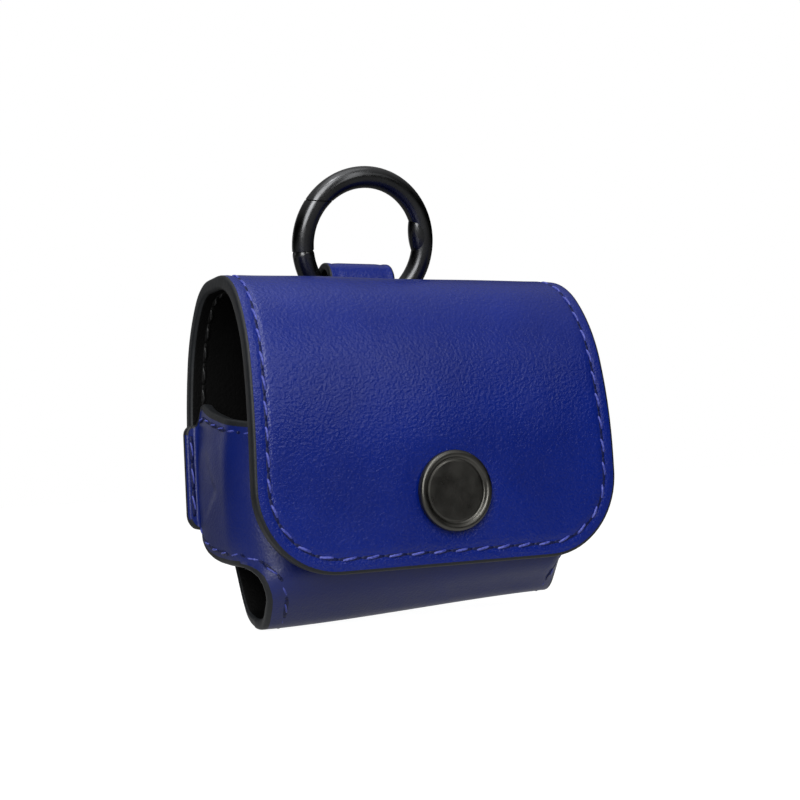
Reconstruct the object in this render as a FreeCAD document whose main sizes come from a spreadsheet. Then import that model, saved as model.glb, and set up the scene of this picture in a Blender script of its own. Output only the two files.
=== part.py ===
import FreeCAD, Part
import os
import re
import Sketcher
from math import pi, radians
from FreeCAD import Placement, Rotation, Vector

# Leather flap pouch for a small rounded charging case, closed by a snap fastener,
# with a spring gate ring held in a leather loop on its back.
#
# Frame: millimetres, +Z up, -Y is the front where the snap is, +X is to the right
# of someone who looks at the front. The origin lies under the middle of the whole
# object, on the level of its lowest point.

# Driving sizes: name, value, meaning.
SIZES = [
    ("flap_width", 67.0, "flap, side to side at the front"),
    ("ridge_inset", 1.1, "how much each side is narrower at the ridge than the flap's front"),
    ("back_inset", 0.1, "how much each side of the back panel is narrower than the flap"),
    ("body_depth", 34.0, "flap front face to back panel rear face"),
    ("front_reach", 17.6, "origin to the flap's front face"),
    ("ridge_height", 58.6, "floor to the ridge"),
    ("ridge_flat", 4.3, "flat stretch along the ridge, front to back"),
    ("flap_bottom", 8.8, "floor to the flap's lower edge"),
    ("flap_corner", 14.0, "radius of the flap's lower corners"),
    ("flare_bottom", 30.0, "height where the flap starts to narrow towards the ridge"),
    ("back_bottom", 17.0, "floor to the back panel's lower edge"),
    ("back_corner", 5.0, "radius of the back panel's lower corners"),
    ("leather", 1.4, "outer leather"),
    ("lining", 1.1, "inner leather of flap and back"),
    ("brow_radius", 12.0, "first bend in front of the ridge"),
    ("brow_turn", 50.0, "its turn in degrees"),
    ("chest_radius", 24.0, "second bend in front of the ridge"),
    ("chest_turn", 28.0, "its turn in degrees"),
    ("front_radius", 70.0, "last slow bend down to the straight front"),
    ("nape_radius", 8.0, "first bend behind the ridge"),
    ("nape_turn", 50.0, "its turn in degrees"),
    ("shoulder_radius", 20.0, "second bend behind the ridge"),
    ("shoulder_turn", 30.0, "its turn in degrees"),
    ("rear_radius", 60.0, "last slow bend down to the straight back"),
    ("pocket_leather", 1.1, "leather of the pocket wrap"),
    ("pocket_lining", 0.7, "lining of the pocket wrap"),
    ("snap_gap", 3.2, "flap lining to pocket front, filled by the snap"),
    ("wing_inset", 0.1, "flap's edge to the bulge of a side wing, seen from the front"),
    ("pocket_corner", 8.5, "upright front corner of the pocket"),
    ("wing_turn", 12.0, "how far a wing turns in towards the back in degrees"),
    ("flange_bend", 1.0, "bend from a wing to its sewn flange"),
    ("flange_reach", 1.4, "how far a flange stands out beyond the flap's edge, seen from the front"),
    ("wing_bottom", 10.6, "floor to the front part of a wing's lower edge"),
    ("wing_sweep_start", 1.0, "where the wing's lower edge starts to rise"),
    ("wing_sweep", 12.0, "radius of that rise"),
    ("sweep_turn", 50.0, "turn of that rise in degrees"),
    ("hem_front", 33.4, "floor to the pocket's top edge at the front"),
    ("hem_back", 37.4, "floor to the pocket's top edge near the back"),
    ("flange_top", 34.2, "floor to the top of a flange"),
    ("flange_bottom", 16.6, "floor to the bottom of a flange"),
    ("tail_inset", 4.6, "flap's edge to the bottom fold's edge, seen from the front"),
    ("tail_taper", 0.8, "how much each edge of the fold comes in at the bottom"),
    ("tail_shoulder", 4.0, "bend from the pocket front into the fold"),
    ("tail_front_slant", 42.0, "slant of the fold's front wall from upright"),
    ("tail_fold", 4.5, "bottom bend of the fold"),
    ("tail_back_slant", 28.0, "slant of the fold's back wall from upright"),
    ("tail_heel", 8.0, "bend from the fold's back wall to the back panel"),
    ("tail_sewn", 4.0, "stretch of the fold sewn flat on the back panel"),
    ("strap_width", 13.2, "leather loop, side to side"),
    ("strap", 1.3, "one ply of the loop's leather"),
    ("strap_straight", 2.0, "straight lower stretch of the loop's sewn plies"),
    ("loop_root_drop", 8.9, "ridge down to where the loop leaves the back"),
    ("soft_gap", 0.3, "room between soft pieces that move past each other"),
    ("wire_radius", 2.0, "half the thickness of the ring's wire"),
    ("ring_radius", 12.2, "ring centre to wire centre"),
    ("ring_shift", 1.2, "ring's centre to the right of the loop's middle"),
    ("ring_lean", 15.0, "how far the ring leans to the front in degrees"),
    ("ring_drop", 3.1, "ridge down to the wire's lowest centre point"),
    ("wire_play", 0.3, "room around the wire in the loop"),
    ("neck_slant", 12.0, "where the loop's neck meets its eye, below the wire's middle in degrees"),
    ("nose_angle", 142.0, "place of the gate's free end on the ring in degrees"),
    ("pivot_angle", 192.0, "place of the gate's pin on the ring in degrees"),
    ("nub_angle", 10.0, "place of the stop nub on the ring in degrees"),
    ("nub_height", 0.75, "how far the nub stands in from the wire"),
    ("nub_half_length", 5.0, "half the nub's length along the wire"),
    ("nub_half_width", 1.95, "half the nub's width across the wire"),
    ("gate_play", 0.2, "room at the gate's free end and around its ears"),
    ("gate_spare", 12.0, "wire past the gate's free end on both sides before the level cuts, in degrees"),
    ("tongue", 1.4, "thickness of the gate's tongue"),
    ("tongue_play", 0.1, "room on each side of the tongue"),
    ("tongue_radius", 1.75, "round end of the tongue about the pin"),
    ("neck_width", 2.2, "tongue's neck where it grows out of the gate"),
    ("neck_height", 3.2, "pin to the top of that neck"),
    ("pin_radius", 0.55, "gate pin"),
    ("pin_length", 3.7, "gate pin"),
    ("pin_fit", 0.01, "room around the pin in the ears"),
    ("pin_run", 0.04, "room around the pin in the tongue"),
    ("spring_bore", 0.75, "radius of the bore that holds the gate spring"),
    ("bore_depth", 5.4, "pin to the bottom of that bore"),
    ("spring_bend", 0.42, "gate spring, bend of its hairpin"),
    ("spring_wire", 0.18, "gate spring, half its wire"),
    ("spring_leg", 2.4, "gate spring, straight length of each leg"),
    ("snap_height", 21.0, "floor to the snap's centre"),
    ("snap_shift", 1.0, "snap's centre to the right of the middle"),
    ("cap_radius", 6.7, "snap cap"),
    ("cap_height", 1.5, "how far the cap stands out from the flap"),
    ("cap_rim", 1.0, "width of the cap's raised rim"),
    ("cap_side_top", 1.05, "top of the cap's upright side above the flap"),
    ("cap_side_bottom", 0.3, "bottom of that side above the flap"),
    ("cap_dish", 0.55, "depth of the dished face below the rim"),
    ("post_radius", 1.5, "cap post through the flap"),
    ("post_play", 0.05, "room around each post in the leather"),
    ("flare_radius", 2.3, "flared end of the cap post"),
    ("flare_height", 0.3, "thickness of the flared end"),
    ("socket_radius", 5.4, "snap socket"),
    ("socket_base", 0.5, "floor of the socket"),
    ("socket_bore", 3.55, "radius of the socket's mouth"),
    ("socket_mouth_gap", 0.2, "socket to the stud's plate"),
    ("ring_spring_wire", 0.28, "half the wire of the socket's ring spring"),
    ("groove", 0.34, "half the width of the groove for that spring"),
    ("groove_depth", 0.84, "socket's mouth in to the middle of that groove"),
    ("ring_spring_span", 325.0, "how far the ring spring runs round in degrees"),
    ("stud_plate_radius", 5.1, "plate of the snap stud"),
    ("stud_plate", 0.5, "thickness of that plate"),
    ("stud_neck", 2.35, "neck radius of the stud"),
    ("stud_head", 2.7, "widest radius of the stud's head"),
    ("stud_tip", 2.0, "radius of the stud's flat tip"),
    ("stud_height", 1.6, "stud head above its plate"),
    ("stud_bulge_bottom", 0.88, "where the head is widest, lower end above the plate"),
    ("stud_bulge_top", 1.2, "where the head is widest, upper end above the plate"),
    ("rivet_tip", 1.28, "end of the rivet above the stud's plate"),
    ("rivet_radius", 1.25, "rivet that holds the stud"),
    ("rivet_head", 4.4, "radius of the rivet's flat head"),
    ("rivet_head_height", 0.4, "thickness of the rivet's head"),
    ("washer_radius", 6.0, "backing washer inside the pocket"),
    ("washer", 0.4, "its thickness"),
]

# Sizes that follow from the driving ones: name, formula.
DERIVED = [
    ("flap_half_width", "flap_width / 2"),
    ("ridge_half_width", "flap_half_width - ridge_inset"),
    ("back_half_width", "flap_half_width - back_inset"),
    ("pocket_half_width", "flap_half_width - wing_inset"),
    ("flange_half_width", "flap_half_width + flange_reach"),
    ("tail_half_width", "flap_half_width - tail_inset"),
    ("front_upper", "brow_turn + chest_turn"),
    ("front_turn", "90 - front_upper"),
    ("rear_upper", "nape_turn + shoulder_turn"),
    ("rear_turn", "90 - rear_upper"),
    ("front_run", "brow_radius * sin(brow_turn) + chest_radius * (sin(front_upper) - sin(brow_turn))"
                  " + front_radius * (1 - sin(front_upper))"),
    ("rear_run", "nape_radius * sin(nape_turn) + shoulder_radius * (sin(rear_upper) - sin(nape_turn))"
                 " + rear_radius * (1 - sin(rear_upper))"),
    ("arch_scale", "(body_depth - ridge_flat) / (front_run + rear_run)"),
    ("brow", "brow_radius * arch_scale"),
    ("chest", "chest_radius * arch_scale"),
    ("front", "front_radius * arch_scale"),
    ("nape", "nape_radius * arch_scale"),
    ("shoulder", "shoulder_radius * arch_scale"),
    ("rear", "rear_radius * arch_scale"),
    ("front_fall", "brow * (1 - cos(brow_turn)) + chest * (cos(brow_turn) - cos(front_upper))"
                   " + front * cos(front_upper)"),
    ("rear_fall", "nape * (1 - cos(nape_turn)) + shoulder * (cos(nape_turn) - cos(rear_upper))"
                  " + rear * cos(rear_upper)"),
    ("hinge_y", "front_run * arch_scale + ridge_flat / 2 - front_reach"),
    ("half_flat", "ridge_flat / 2"),
    ("flap_straight", "ridge_height - front_fall - flap_bottom"),
    ("back_straight", "ridge_height - rear_fall - back_bottom"),
    ("cover", "leather + lining"),
    ("back_face", "body_depth - front_reach"),
    ("back_inner", "back_face - cover"),
    ("pocket_wall", "pocket_leather + pocket_lining"),
    ("pocket_front", "cover + snap_gap - front_reach"),
    ("wing_start_y", "pocket_front + pocket_corner"),
    ("flange_turn", "90 + wing_turn"),
    ("flange_face", "back_inner - pocket_wall"),
    ("wing_radius", "(flange_face - wing_start_y - flange_bend * (1 + sin(wing_turn))) / sin(wing_turn)"),
    ("wing_back_x", "pocket_half_width - wing_radius * (1 - cos(wing_turn))"),
    ("flange_length", "flange_half_width - wing_back_x - flange_bend * cos(wing_turn)"),
    ("tail_lead", "0.5 * leather"),
    ("tail_front_wall", "(wing_bottom - tail_lead - tail_shoulder * sin(tail_front_slant)"
                        " - tail_fold * (1 - sin(tail_front_slant))) / cos(tail_front_slant)"),
    ("tail_turn", "180 - tail_front_slant - tail_back_slant"),
    ("fold_y", "pocket_front + tail_shoulder * (1 - cos(tail_front_slant))"
               " + tail_front_wall * sin(tail_front_slant) + tail_fold * cos(tail_front_slant)"),
    ("tail_back_wall", "(back_inner - fold_y - tail_fold * cos(tail_back_slant)"
                       " - tail_heel * (1 - cos(tail_back_slant))) / sin(tail_back_slant)"),
    ("shoulder_y", "hinge_y + half_flat + (nape - shoulder) * sin(nape_turn)"),
    ("shoulder_z", "ridge_height - nape + (nape - shoulder) * cos(nape_turn)"),
    ("root_lift", "asin((ridge_height - loop_root_drop - shoulder_z) / shoulder) / (1 deg)"),
    ("strap_bottom", "ridge_height - rear_fall - strap_straight"),
    ("strap_bend", "root_lift - rear_turn"),
    ("two_plies", "2 * strap"),
    ("wire_z", "ridge_height - ring_drop"),
    ("wire_reach", "shoulder + soft_gap + strap + wire_play + wire_radius"),
    ("wire_rise", "wire_z - shoulder_z"),
    ("wire_y", "shoulder_y + sqrt(wire_reach * wire_reach - wire_rise * wire_rise)"),
    ("ring_z", "wire_z + ring_radius"),
    ("strap_far_side", "strap_width / 2 + ring_shift"),
    ("slot_radius", "wire_radius + wire_play"),
    ("eye_radius", "slot_radius + strap"),
    ("ring_inner", "ring_radius - wire_radius"),
    ("slot_length", "ring_radius - sqrt(ring_inner * ring_inner - strap_far_side * strap_far_side)"
                    " + wire_play"),
    ("slot_rise", "slot_length - slot_radius"),
    ("pivot_x", "ring_shift + ring_radius * cos(pivot_angle)"),
    ("pivot_z", "ring_z + ring_radius * sin(pivot_angle)"),
    ("nose_z", "ring_z + ring_radius * sin(nose_angle)"),
    ("socket_height", "snap_gap - stud_plate - socket_mouth_gap"),
]

FUNCTIONS = {"sin", "cos", "asin", "sqrt", "deg"}

doc = FreeCAD.newDocument("earbud_case_pouch")
sizes = doc.addObject("Spreadsheet::Sheet", "Sizes")
derived = doc.addObject("Spreadsheet::Sheet", "Derived")
size_names = {name for name, value, meaning in SIZES}


def formula(text):
    """Expression text in which every bare name points at its sheet."""
    def place(match):
        name = match.group(0)
        if name in FUNCTIONS:
            return name
        sheet = "Sizes" if name in size_names else "Derived"
        return sheet + "." + name
    return re.sub(r"[a-z_]+", place, str(text))


def fill_sheets():
    """Write the driving sizes and the formulas that follow from them."""
    for row, (name, value, meaning) in enumerate(SIZES, start=1):
        sizes.set("A%d" % row, name)
        sizes.set("B%d" % row, str(value))
        sizes.set("C%d" % row, meaning)
        sizes.setAlias("B%d" % row, name)
    doc.recompute()
    for row, (name, text) in enumerate(DERIVED, start=1):
        derived.set("A%d" % row, name)
        derived.setAlias("B%d" % row, name)
        derived.set("B%d" % row, "=" + formula(text))
    doc.recompute()


def value(text):
    """Number that an expression over the sheets has now."""
    result = sizes.evalExpression(formula(text))
    return float(getattr(result, "Value", result))


def bind(thing, prop, text):
    """Bind a property to an expression over the sheets."""
    thing.setExpression(prop, formula(text))


# Bodies, planes and sketches

def new_body(label, y=None, z=None, x=None):
    """PartDesign body with its own label and a placement bound to the sheets."""
    body = doc.addObject("PartDesign::Body", label)
    body.Label = label
    for axis, text in (("x", x), ("y", y), ("z", z)):
        if text is not None:
            bind(body, "Placement.Base." + axis, text)
    return body


def origin_part(body, role):
    """Plane or axis of a body's own origin."""
    return next(part for part in body.Origin.OriginFeatures if part.Role == role)


def new_sketch(body, plane, name):
    sketch = body.newObject("Sketcher::SketchObject", name)
    sketch.AttachmentSupport = [(origin_part(body, plane), "")]
    sketch.MapMode = "FlatFace"
    return sketch


def fix(sketch, kind, *parts):
    """Constraint whose last part may be an expression that it stays bound to."""
    if isinstance(parts[-1], str):
        text = parts[-1]
        number = value(text)
        if kind == "Angle":
            number = radians(number)
            text = "(" + text + ") * 1 deg"
        index = sketch.addConstraint(Sketcher.Constraint(kind, *parts[:-1], number))
        bind(sketch, "Constraints[%d]" % index, text)
    else:
        sketch.addConstraint(Sketcher.Constraint(kind, *parts))


def fix_point(sketch, geometry, which, x, y):
    """Hold a point at expressions for its two sketch coordinates."""
    for kind, text in (("DistanceX", x), ("DistanceY", y)):
        fix(sketch, kind, -1, 1, geometry, which, text)


def add_loop(sketch, corners):
    """Closed loop of straight lines through corners given as expression pairs."""
    points = [Vector(value(x), value(y), 0) for x, y in corners]
    first = None
    for index, point in enumerate(points):
        line = sketch.addGeometry(Part.LineSegment(point, points[(index + 1) % len(points)]))
        first = line if first is None else first
        if line > first:
            fix(sketch, "Coincident", line - 1, 2, line, 1)
    fix(sketch, "Coincident", line, 2, first, 1)
    for index, (x, y) in enumerate(corners):
        fix_point(sketch, first + index, 1, x, y)


def add_circle(sketch, x, y, radius):
    centre = Vector(value(x), value(y), 0)
    circle = sketch.addGeometry(Part.Circle(centre, Vector(0, 0, 1), value(radius)))
    fix_point(sketch, circle, 3, x, y)
    fix(sketch, "Radius", circle, radius)


def add_slot(sketch, x, low, rise, radius):
    """Upright slot: two half circles joined by straight sides."""
    bottom = Vector(value(x), value(low), 0)
    top = bottom + Vector(0, value(rise), 0)
    size = value(radius)
    side = Vector(size, 0, 0)
    up = Vector(0, 0, 1)
    over = sketch.addGeometry(Part.ArcOfCircle(Part.Circle(top, up, size), 0, pi))
    left = sketch.addGeometry(Part.LineSegment(top - side, bottom - side))
    under = sketch.addGeometry(Part.ArcOfCircle(Part.Circle(bottom, up, size), pi, 2 * pi))
    right = sketch.addGeometry(Part.LineSegment(bottom + side, top + side))
    fix(sketch, "Tangent", over, 2, left, 1)
    fix(sketch, "Tangent", left, 2, under, 1)
    fix(sketch, "Tangent", under, 2, right, 1)
    fix(sketch, "Tangent", right, 2, over, 1)
    fix_point(sketch, under, 3, x, low)
    fix(sketch, "Vertical", right)
    fix(sketch, "Radius", under, radius)
    fix(sketch, "DistanceY", under, 3, over, 3, rise)


def bent_path(start, heading, pieces, shift):
    """Edges of a path of tangent lines and arcs, moved sideways to its left by shift.

    A piece is ("line", length) or ("arc", radius, turn): a positive turn bends to the
    left, a negative one to the right. Sizes are expressions.
    """
    edges = []
    place = Vector(value(start[0]), value(start[1]), 0)
    along = Vector(1, 0, 0)
    spin = Rotation(Vector(0, 0, 1), heading)
    along = spin.multVec(along)
    for piece in pieces:
        left = Vector(-along.y, along.x, 0)
        if piece[0] == "line":
            end = place + along * value(piece[1])
            edges.append(Part.LineSegment(place + left * shift, end + left * shift))
        else:
            turn = value(piece[2])
            radius = value(piece[1])
            side = 1 if turn > 0 else -1
            centre = place + left * radius * side
            half = Rotation(Vector(0, 0, 1), turn / 2)
            full = Rotation(Vector(0, 0, 1), turn)
            spoke = place - centre
            size = radius - side * shift
            ends = [centre + part * (size / radius)
                    for part in (spoke, half.multVec(spoke), full.multVec(spoke))]
            edges.append(Part.Arc(*ends))
            end = centre + full.multVec(spoke)
            along = full.multVec(along)
        place = end
    return edges


def add_strip(sketch, start, heading, pieces, outer, inner):
    """Closed outline of one ply of a bent sheet, between two sideways distances.

    The path itself is the sheet's outer face, and both distances are expressions.
    The outer side is constrained piece by piece and the inner side runs parallel.
    """
    sides = []
    for shift in (outer, inner):
        ids = [sketch.addGeometry(edge) for edge in bent_path(start, heading, pieces, value(shift))]
        sides.append(ids)
    flat = "Horizontal" if heading % 180 == 0 else "Vertical"

    def ends(ids, index):
        """First and last point numbers of a piece, in path order."""
        if pieces[index][0] == "arc" and value(pieces[index][2]) < 0:
            return 2, 1
        return 1, 2

    for ids in sides:
        for index in range(len(pieces) - 1):
            tail = ends(ids, index)[1]
            head = ends(ids, index + 1)[0]
            fix(sketch, "Tangent", ids[index], tail, ids[index + 1], head)
    near, far = sides
    caps = []
    for index in (0, -1):
        place = 0 if index == 0 else 1
        point = ends(near, index if index == 0 else len(pieces) - 1)[place]
        cap = sketch.addGeometry(Part.LineSegment(sketch.getPoint(near[index], point),
                                                  sketch.getPoint(far[index], point)))
        fix(sketch, "Coincident", cap, 1, near[index], point)
        fix(sketch, "Coincident", cap, 2, far[index], point)
        caps.append(cap)
    shifted = value(outer) != 0
    fix(sketch, flat, near[0])
    fix(sketch, flat, far[0])
    fix(sketch, "Vertical" if flat == "Horizontal" else "Horizontal", caps[0])
    fix(sketch, "Distance", caps[0], "(%s) - (%s)" % (inner, outer))
    x, y = start
    if shifted:
        sign = {0: (0, 1), 90: (-1, 0), 180: (0, -1), 270: (1, 0)}[heading % 360]
        x = "(%s) + %d * (%s)" % (x, sign[0], outer)
        y = "(%s) + %d * (%s)" % (y, sign[1], outer)
    fix_point(sketch, near[0], 1, x, y)
    for index, piece in enumerate(pieces):
        if piece[0] == "line":
            fix(sketch, "Distance", near[index], piece[1])
            if index > 0:
                fix(sketch, "Parallel", near[index], far[index])
        else:
            side = 1 if value(piece[2]) > 0 else -1
            fix(sketch, "Radius", near[index], "(%s) - %d * (%s)" % (piece[1], side, outer))
            fix(sketch, "Angle", near[index], "%d * (%s)" % (side, piece[2]))
            fix(sketch, "Coincident", near[index], 3, far[index], 3)
    if pieces[-1][0] == "line":
        fix(sketch, "Perpendicular", caps[1], near[-1])
    else:
        fix(sketch, "PointOnObject", near[-1], 3, caps[1])


# Features

def close_to(one, other):
    return abs(one - other) < 0.001


def pad(body, sketch, name, length):
    """Pad that grows to both sides of its sketch."""
    feature = body.newObject("PartDesign::Pad", name)
    feature.Profile = sketch
    feature.SideType = "Symmetric"
    bind(feature, "Length", length)
    doc.recompute()
    return feature


def cut(body, sketch, name, length):
    """Pocket on both sides of its sketch, which has to remove something."""
    before = body.Shape.Volume
    feature = body.newObject("PartDesign::Pocket", name)
    feature.Profile = sketch
    feature.SideType = "Symmetric"
    bind(feature, "Length", length)
    doc.recompute()
    if body.Shape.Volume >= before:
        raise ValueError(name + " cuts nothing")
    return feature


def keep_inside(body, plane, name, corners, reach):
    """Trim a body to the outline through corners, seen square to a plane."""
    sketch = new_sketch(body, plane, name + "_outline")
    add_loop(sketch, [("-(%s)" % reach, "-(%s)" % reach), (reach, "-(%s)" % reach),
                      (reach, reach), ("-(%s)" % reach, reach)])
    add_loop(sketch, corners)
    return cut(body, sketch, name, "2 * (%s)" % reach)


def round_corners(body, name, radius, x, z):
    """Fillet the short edges along Y at a distance x on both sides and a height z."""
    base = body.Tip
    wide = value(x)
    high = value(z)
    chosen = []
    for index, edge in enumerate(base.Shape.Edges, start=1):
        box = edge.BoundBox
        across = close_to(box.XLength, 0) and close_to(box.ZLength, 0)
        if across and close_to(abs(box.XMin), wide) and close_to(box.ZMin, high):
            chosen.append("Edge%d" % index)
    if not chosen:
        raise ValueError(name + " finds no edge")
    feature = body.newObject("PartDesign::Fillet", name)
    feature.Base = (base, chosen)
    bind(feature, "Radius", radius)
    doc.recompute()
    return feature


def spin(body, sketch, name):
    """Solid of revolution about the body's own Y axis."""
    feature = body.newObject("PartDesign::Revolution", name)
    feature.Profile = sketch
    feature.ReferenceAxis = (origin_part(body, "Y_Axis"), [""])
    feature.Angle = 360
    doc.recompute()
    return feature


def hole_along_y(body, name, x, z, radius, reach):
    """Round hole through a body along Y."""
    sketch = new_sketch(body, "XZ_Plane", name + "_circle")
    add_circle(sketch, x, z, radius)
    return cut(body, sketch, name, "2 * (%s)" % reach)


# Cover: flap in front of the ridge, back panel behind it

REACH = "2 * ridge_height"

FLAP_PATH = [
    ("line", "half_flat"),
    ("arc", "brow", "brow_turn"),
    ("arc", "chest", "chest_turn"),
    ("arc", "front", "front_turn"),
    ("line", "flap_straight"),
]

BACK_PATH = [
    ("line", "back_straight"),
    ("arc", "rear", "rear_turn"),
    ("arc", "shoulder", "shoulder_turn"),
    ("arc", "nape", "nape_turn"),
    ("line", "half_flat"),
]


def flap_ply(label, outer, inner):
    """One ply of the flap, from the ridge over the front down to its lower edge."""
    body = new_body(label)
    side = new_sketch(body, "YZ_Plane", label + "_side")
    add_strip(side, ("hinge_y", "ridge_height"), 180, FLAP_PATH, outer, inner)
    pad(body, side, label + "_sheet", "flap_width")
    keep_inside(body, "XZ_Plane", label + "_trim", [
        ("-flap_half_width", "flap_bottom"),
        ("flap_half_width", "flap_bottom"),
        ("flap_half_width", "flare_bottom"),
        ("ridge_half_width", "ridge_height"),
        ("ridge_half_width", "ridge_height + cover"),
        ("-ridge_half_width", "ridge_height + cover"),
        ("-ridge_half_width", "ridge_height"),
        ("-flap_half_width", "flare_bottom"),
    ], REACH)
    round_corners(body, label + "_corners", "flap_corner", "flap_half_width", "flap_bottom")
    hole_along_y(body, label + "_post_hole", "snap_shift", "snap_height", "post_radius + post_play",
                 "front_reach + half_flat")
    return body


def back_ply(label, outer, inner):
    """One ply of the back panel, from its lower edge up to the ridge."""
    body = new_body(label)
    side = new_sketch(body, "YZ_Plane", label + "_side")
    add_strip(side, ("back_face", "back_bottom"), 90, BACK_PATH, outer, inner)
    pad(body, side, label + "_sheet", "2 * back_half_width")
    keep_inside(body, "XZ_Plane", label + "_trim", [
        ("-back_half_width", "back_bottom"),
        ("back_half_width", "back_bottom"),
        ("back_half_width", "flare_bottom"),
        ("ridge_half_width", "ridge_height"),
        ("ridge_half_width", "ridge_height + cover"),
        ("-ridge_half_width", "ridge_height + cover"),
        ("-ridge_half_width", "ridge_height"),
        ("-back_half_width", "flare_bottom"),
    ], REACH)
    round_corners(body, label + "_corners", "back_corner", "back_half_width", "back_bottom")
    return body


# Pocket: front, side wings with sewn flanges, and the fold under the case

WRAP_PATH = [
    ("line", "pocket_half_width - pocket_corner"),
    ("arc", "pocket_corner", "90"),
    ("arc", "wing_radius", "wing_turn"),
    ("arc", "flange_bend", "-flange_turn"),
    ("line", "flange_length"),
]

TAIL_PATH = [
    ("line", "tail_lead"),
    ("arc", "tail_shoulder", "tail_front_slant"),
    ("line", "tail_front_wall"),
    ("arc", "tail_fold", "tail_turn"),
    ("line", "tail_back_wall"),
    ("arc", "tail_heel", "tail_back_slant"),
    ("line", "tail_sewn"),
]


def pocket_ply(label, outer, inner):
    """Pocket ply as one body: half wrap, its edges trimmed, mirrored, then the fold."""
    body = new_body(label)
    plan = new_sketch(body, "XY_Plane", label + "_plan")
    add_strip(plan, ("0", "pocket_front"), 0, WRAP_PATH, outer, inner)
    wrap = pad(body, plan, label + "_half_wrap", "2 * ridge_height")
    mirror = body.newObject("PartDesign::Mirrored", label + "_both_wings")
    mirror.Originals = [wrap]
    mirror.MirrorPlane = (origin_part(body, "YZ_Plane"), [""])
    body.Tip = mirror
    doc.recompute()
    keep_inside(body, "YZ_Plane", label + "_edges", [
        ("-front_reach", "wing_bottom"),
        ("wing_sweep_start", "wing_bottom"),
        *[("wing_sweep_start + wing_sweep * sin(sweep_turn * %.2f)" % share,
           "wing_bottom + wing_sweep * (1 - cos(sweep_turn * %.2f))" % share)
          for share in (0.25, 0.5, 0.75, 1.0)],
        ("flange_face - flange_bend", "flange_bottom"),
        ("back_face", "flange_bottom"),
        ("back_face", "flange_top"),
        ("flange_face - flange_bend", "flange_top"),
        ("flange_face - 3 * flange_bend", "hem_back"),
        ("-front_reach", "hem_front"),
    ], REACH)
    hole_along_y(body, label + "_rivet_hole", "snap_shift", "snap_height", "rivet_radius + post_play",
                 "front_reach")
    side = new_sketch(body, "YZ_Plane", label + "_fold_side")
    add_strip(side, ("pocket_front", "wing_bottom"), 270, TAIL_PATH, outer, inner)
    pad(body, side, label + "_fold", "2 * tail_half_width")
    taper = new_sketch(body, "XZ_Plane", label + "_fold_taper")
    for sign in ("", "-"):
        add_loop(taper, [
            (sign + "tail_half_width", "wing_bottom"),
            (sign + "(tail_half_width - tail_taper)", "0"),
            (sign + "(tail_half_width - tail_taper)", "-tail_fold"),
            (sign + "2 * tail_half_width", "-tail_fold"),
            (sign + "2 * tail_half_width", "wing_bottom"),
        ])
    cut(body, taper, label + "_fold_edges", REACH)
    return body


# Leather loop: two plies sewn on the back, and the eye that holds the ring

STRAP_PATH = [
    ("line", "strap_straight"),
    ("arc", "rear + two_plies", "rear_turn"),
    ("arc", "shoulder + two_plies", "strap_bend"),
]


def loop_base():
    """Sewn plies of the loop, lying on the back panel."""
    body = new_body("loop_base")
    side = new_sketch(body, "YZ_Plane", "loop_base_side")
    add_strip(side, ("back_face + two_plies", "strap_bottom"), 90, STRAP_PATH,
              "0", "two_plies")
    pad(body, side, "loop_base_strap", "strap_width")
    return body


def leaning_sketch(body, name):
    """Side view with its origin at the wire's lowest centre point, leaning as the ring does."""
    sketch = new_sketch(body, "YZ_Plane", name)
    sketch.AttachmentOffset = Placement(Vector(), Rotation(Vector(0, 0, 1), value("ring_lean")))
    bind(sketch, "AttachmentOffset.Base.x", "wire_y")
    bind(sketch, "AttachmentOffset.Base.y", "wire_z")
    return sketch


def loop_eye():
    """Eye of the loop, standing on the sewn plies, with a slot for the wire that leans with it."""
    body = new_body("loop_eye")
    front_foot = ("shoulder_y + (shoulder + soft_gap) * cos(root_lift)",
                  "shoulder_z + (shoulder + soft_gap) * sin(root_lift)")
    rear_foot = ("shoulder_y + (shoulder + two_plies) * cos(root_lift)",
                 "shoulder_z + (shoulder + two_plies) * sin(root_lift)")
    foot = new_sketch(body, "YZ_Plane", "loop_eye_foot")
    add_loop(foot, [front_foot, rear_foot,
                    ("wire_y + eye_radius * cos(neck_slant)", "wire_z - eye_radius * sin(neck_slant)"),
                    ("wire_y - eye_radius * cos(neck_slant)", "wire_z - eye_radius * sin(neck_slant)")])
    pad(body, foot, "loop_eye_neck", "strap_width")
    outside = leaning_sketch(body, "loop_eye_outside")
    add_slot(outside, "0", "0", "slot_rise", "eye_radius")
    pad(body, outside, "loop_eye_wrap", "strap_width")
    inside = leaning_sketch(body, "loop_eye_inside")
    add_slot(inside, "0", "0", "slot_rise", "slot_radius")
    cut(body, inside, "loop_eye_slot", "2 * strap_width")
    return body


# Snap fastener: each piece is turned about the snap's own axis

def turned(label, corners):
    """Solid of revolution on the snap's axis: corners are (depth from the flap's face, radius)."""
    body = new_body(label, y="-front_reach", z="snap_height", x="snap_shift")
    profile = new_sketch(body, "YZ_Plane", label + "_profile")
    add_loop(profile, corners)
    spin(body, profile, label + "_turning")
    return body


def snap_cap():
    """Visible cap with a plain dished face, and its post flared over in the socket."""
    return turned("snap_cap", [
        ("-(cap_height - cap_dish)", "0"),
        ("-(cap_height - cap_dish)", "cap_radius - cap_rim - cap_dish"),
        ("-cap_height", "cap_radius - cap_rim"),
        ("-cap_height", "cap_radius - cap_rim / 2"),
        ("-cap_side_top", "cap_radius"),
        ("-cap_side_bottom", "cap_radius"),
        ("0", "cap_radius - cap_rim / 3"),
        ("0", "post_radius"),
        ("cover + socket_base", "post_radius"),
        ("cover + socket_base", "flare_radius"),
        ("cover + socket_base + flare_height", "flare_radius - flare_height / 2"),
        ("cover + socket_base + flare_height", "0"),
    ])


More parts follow.
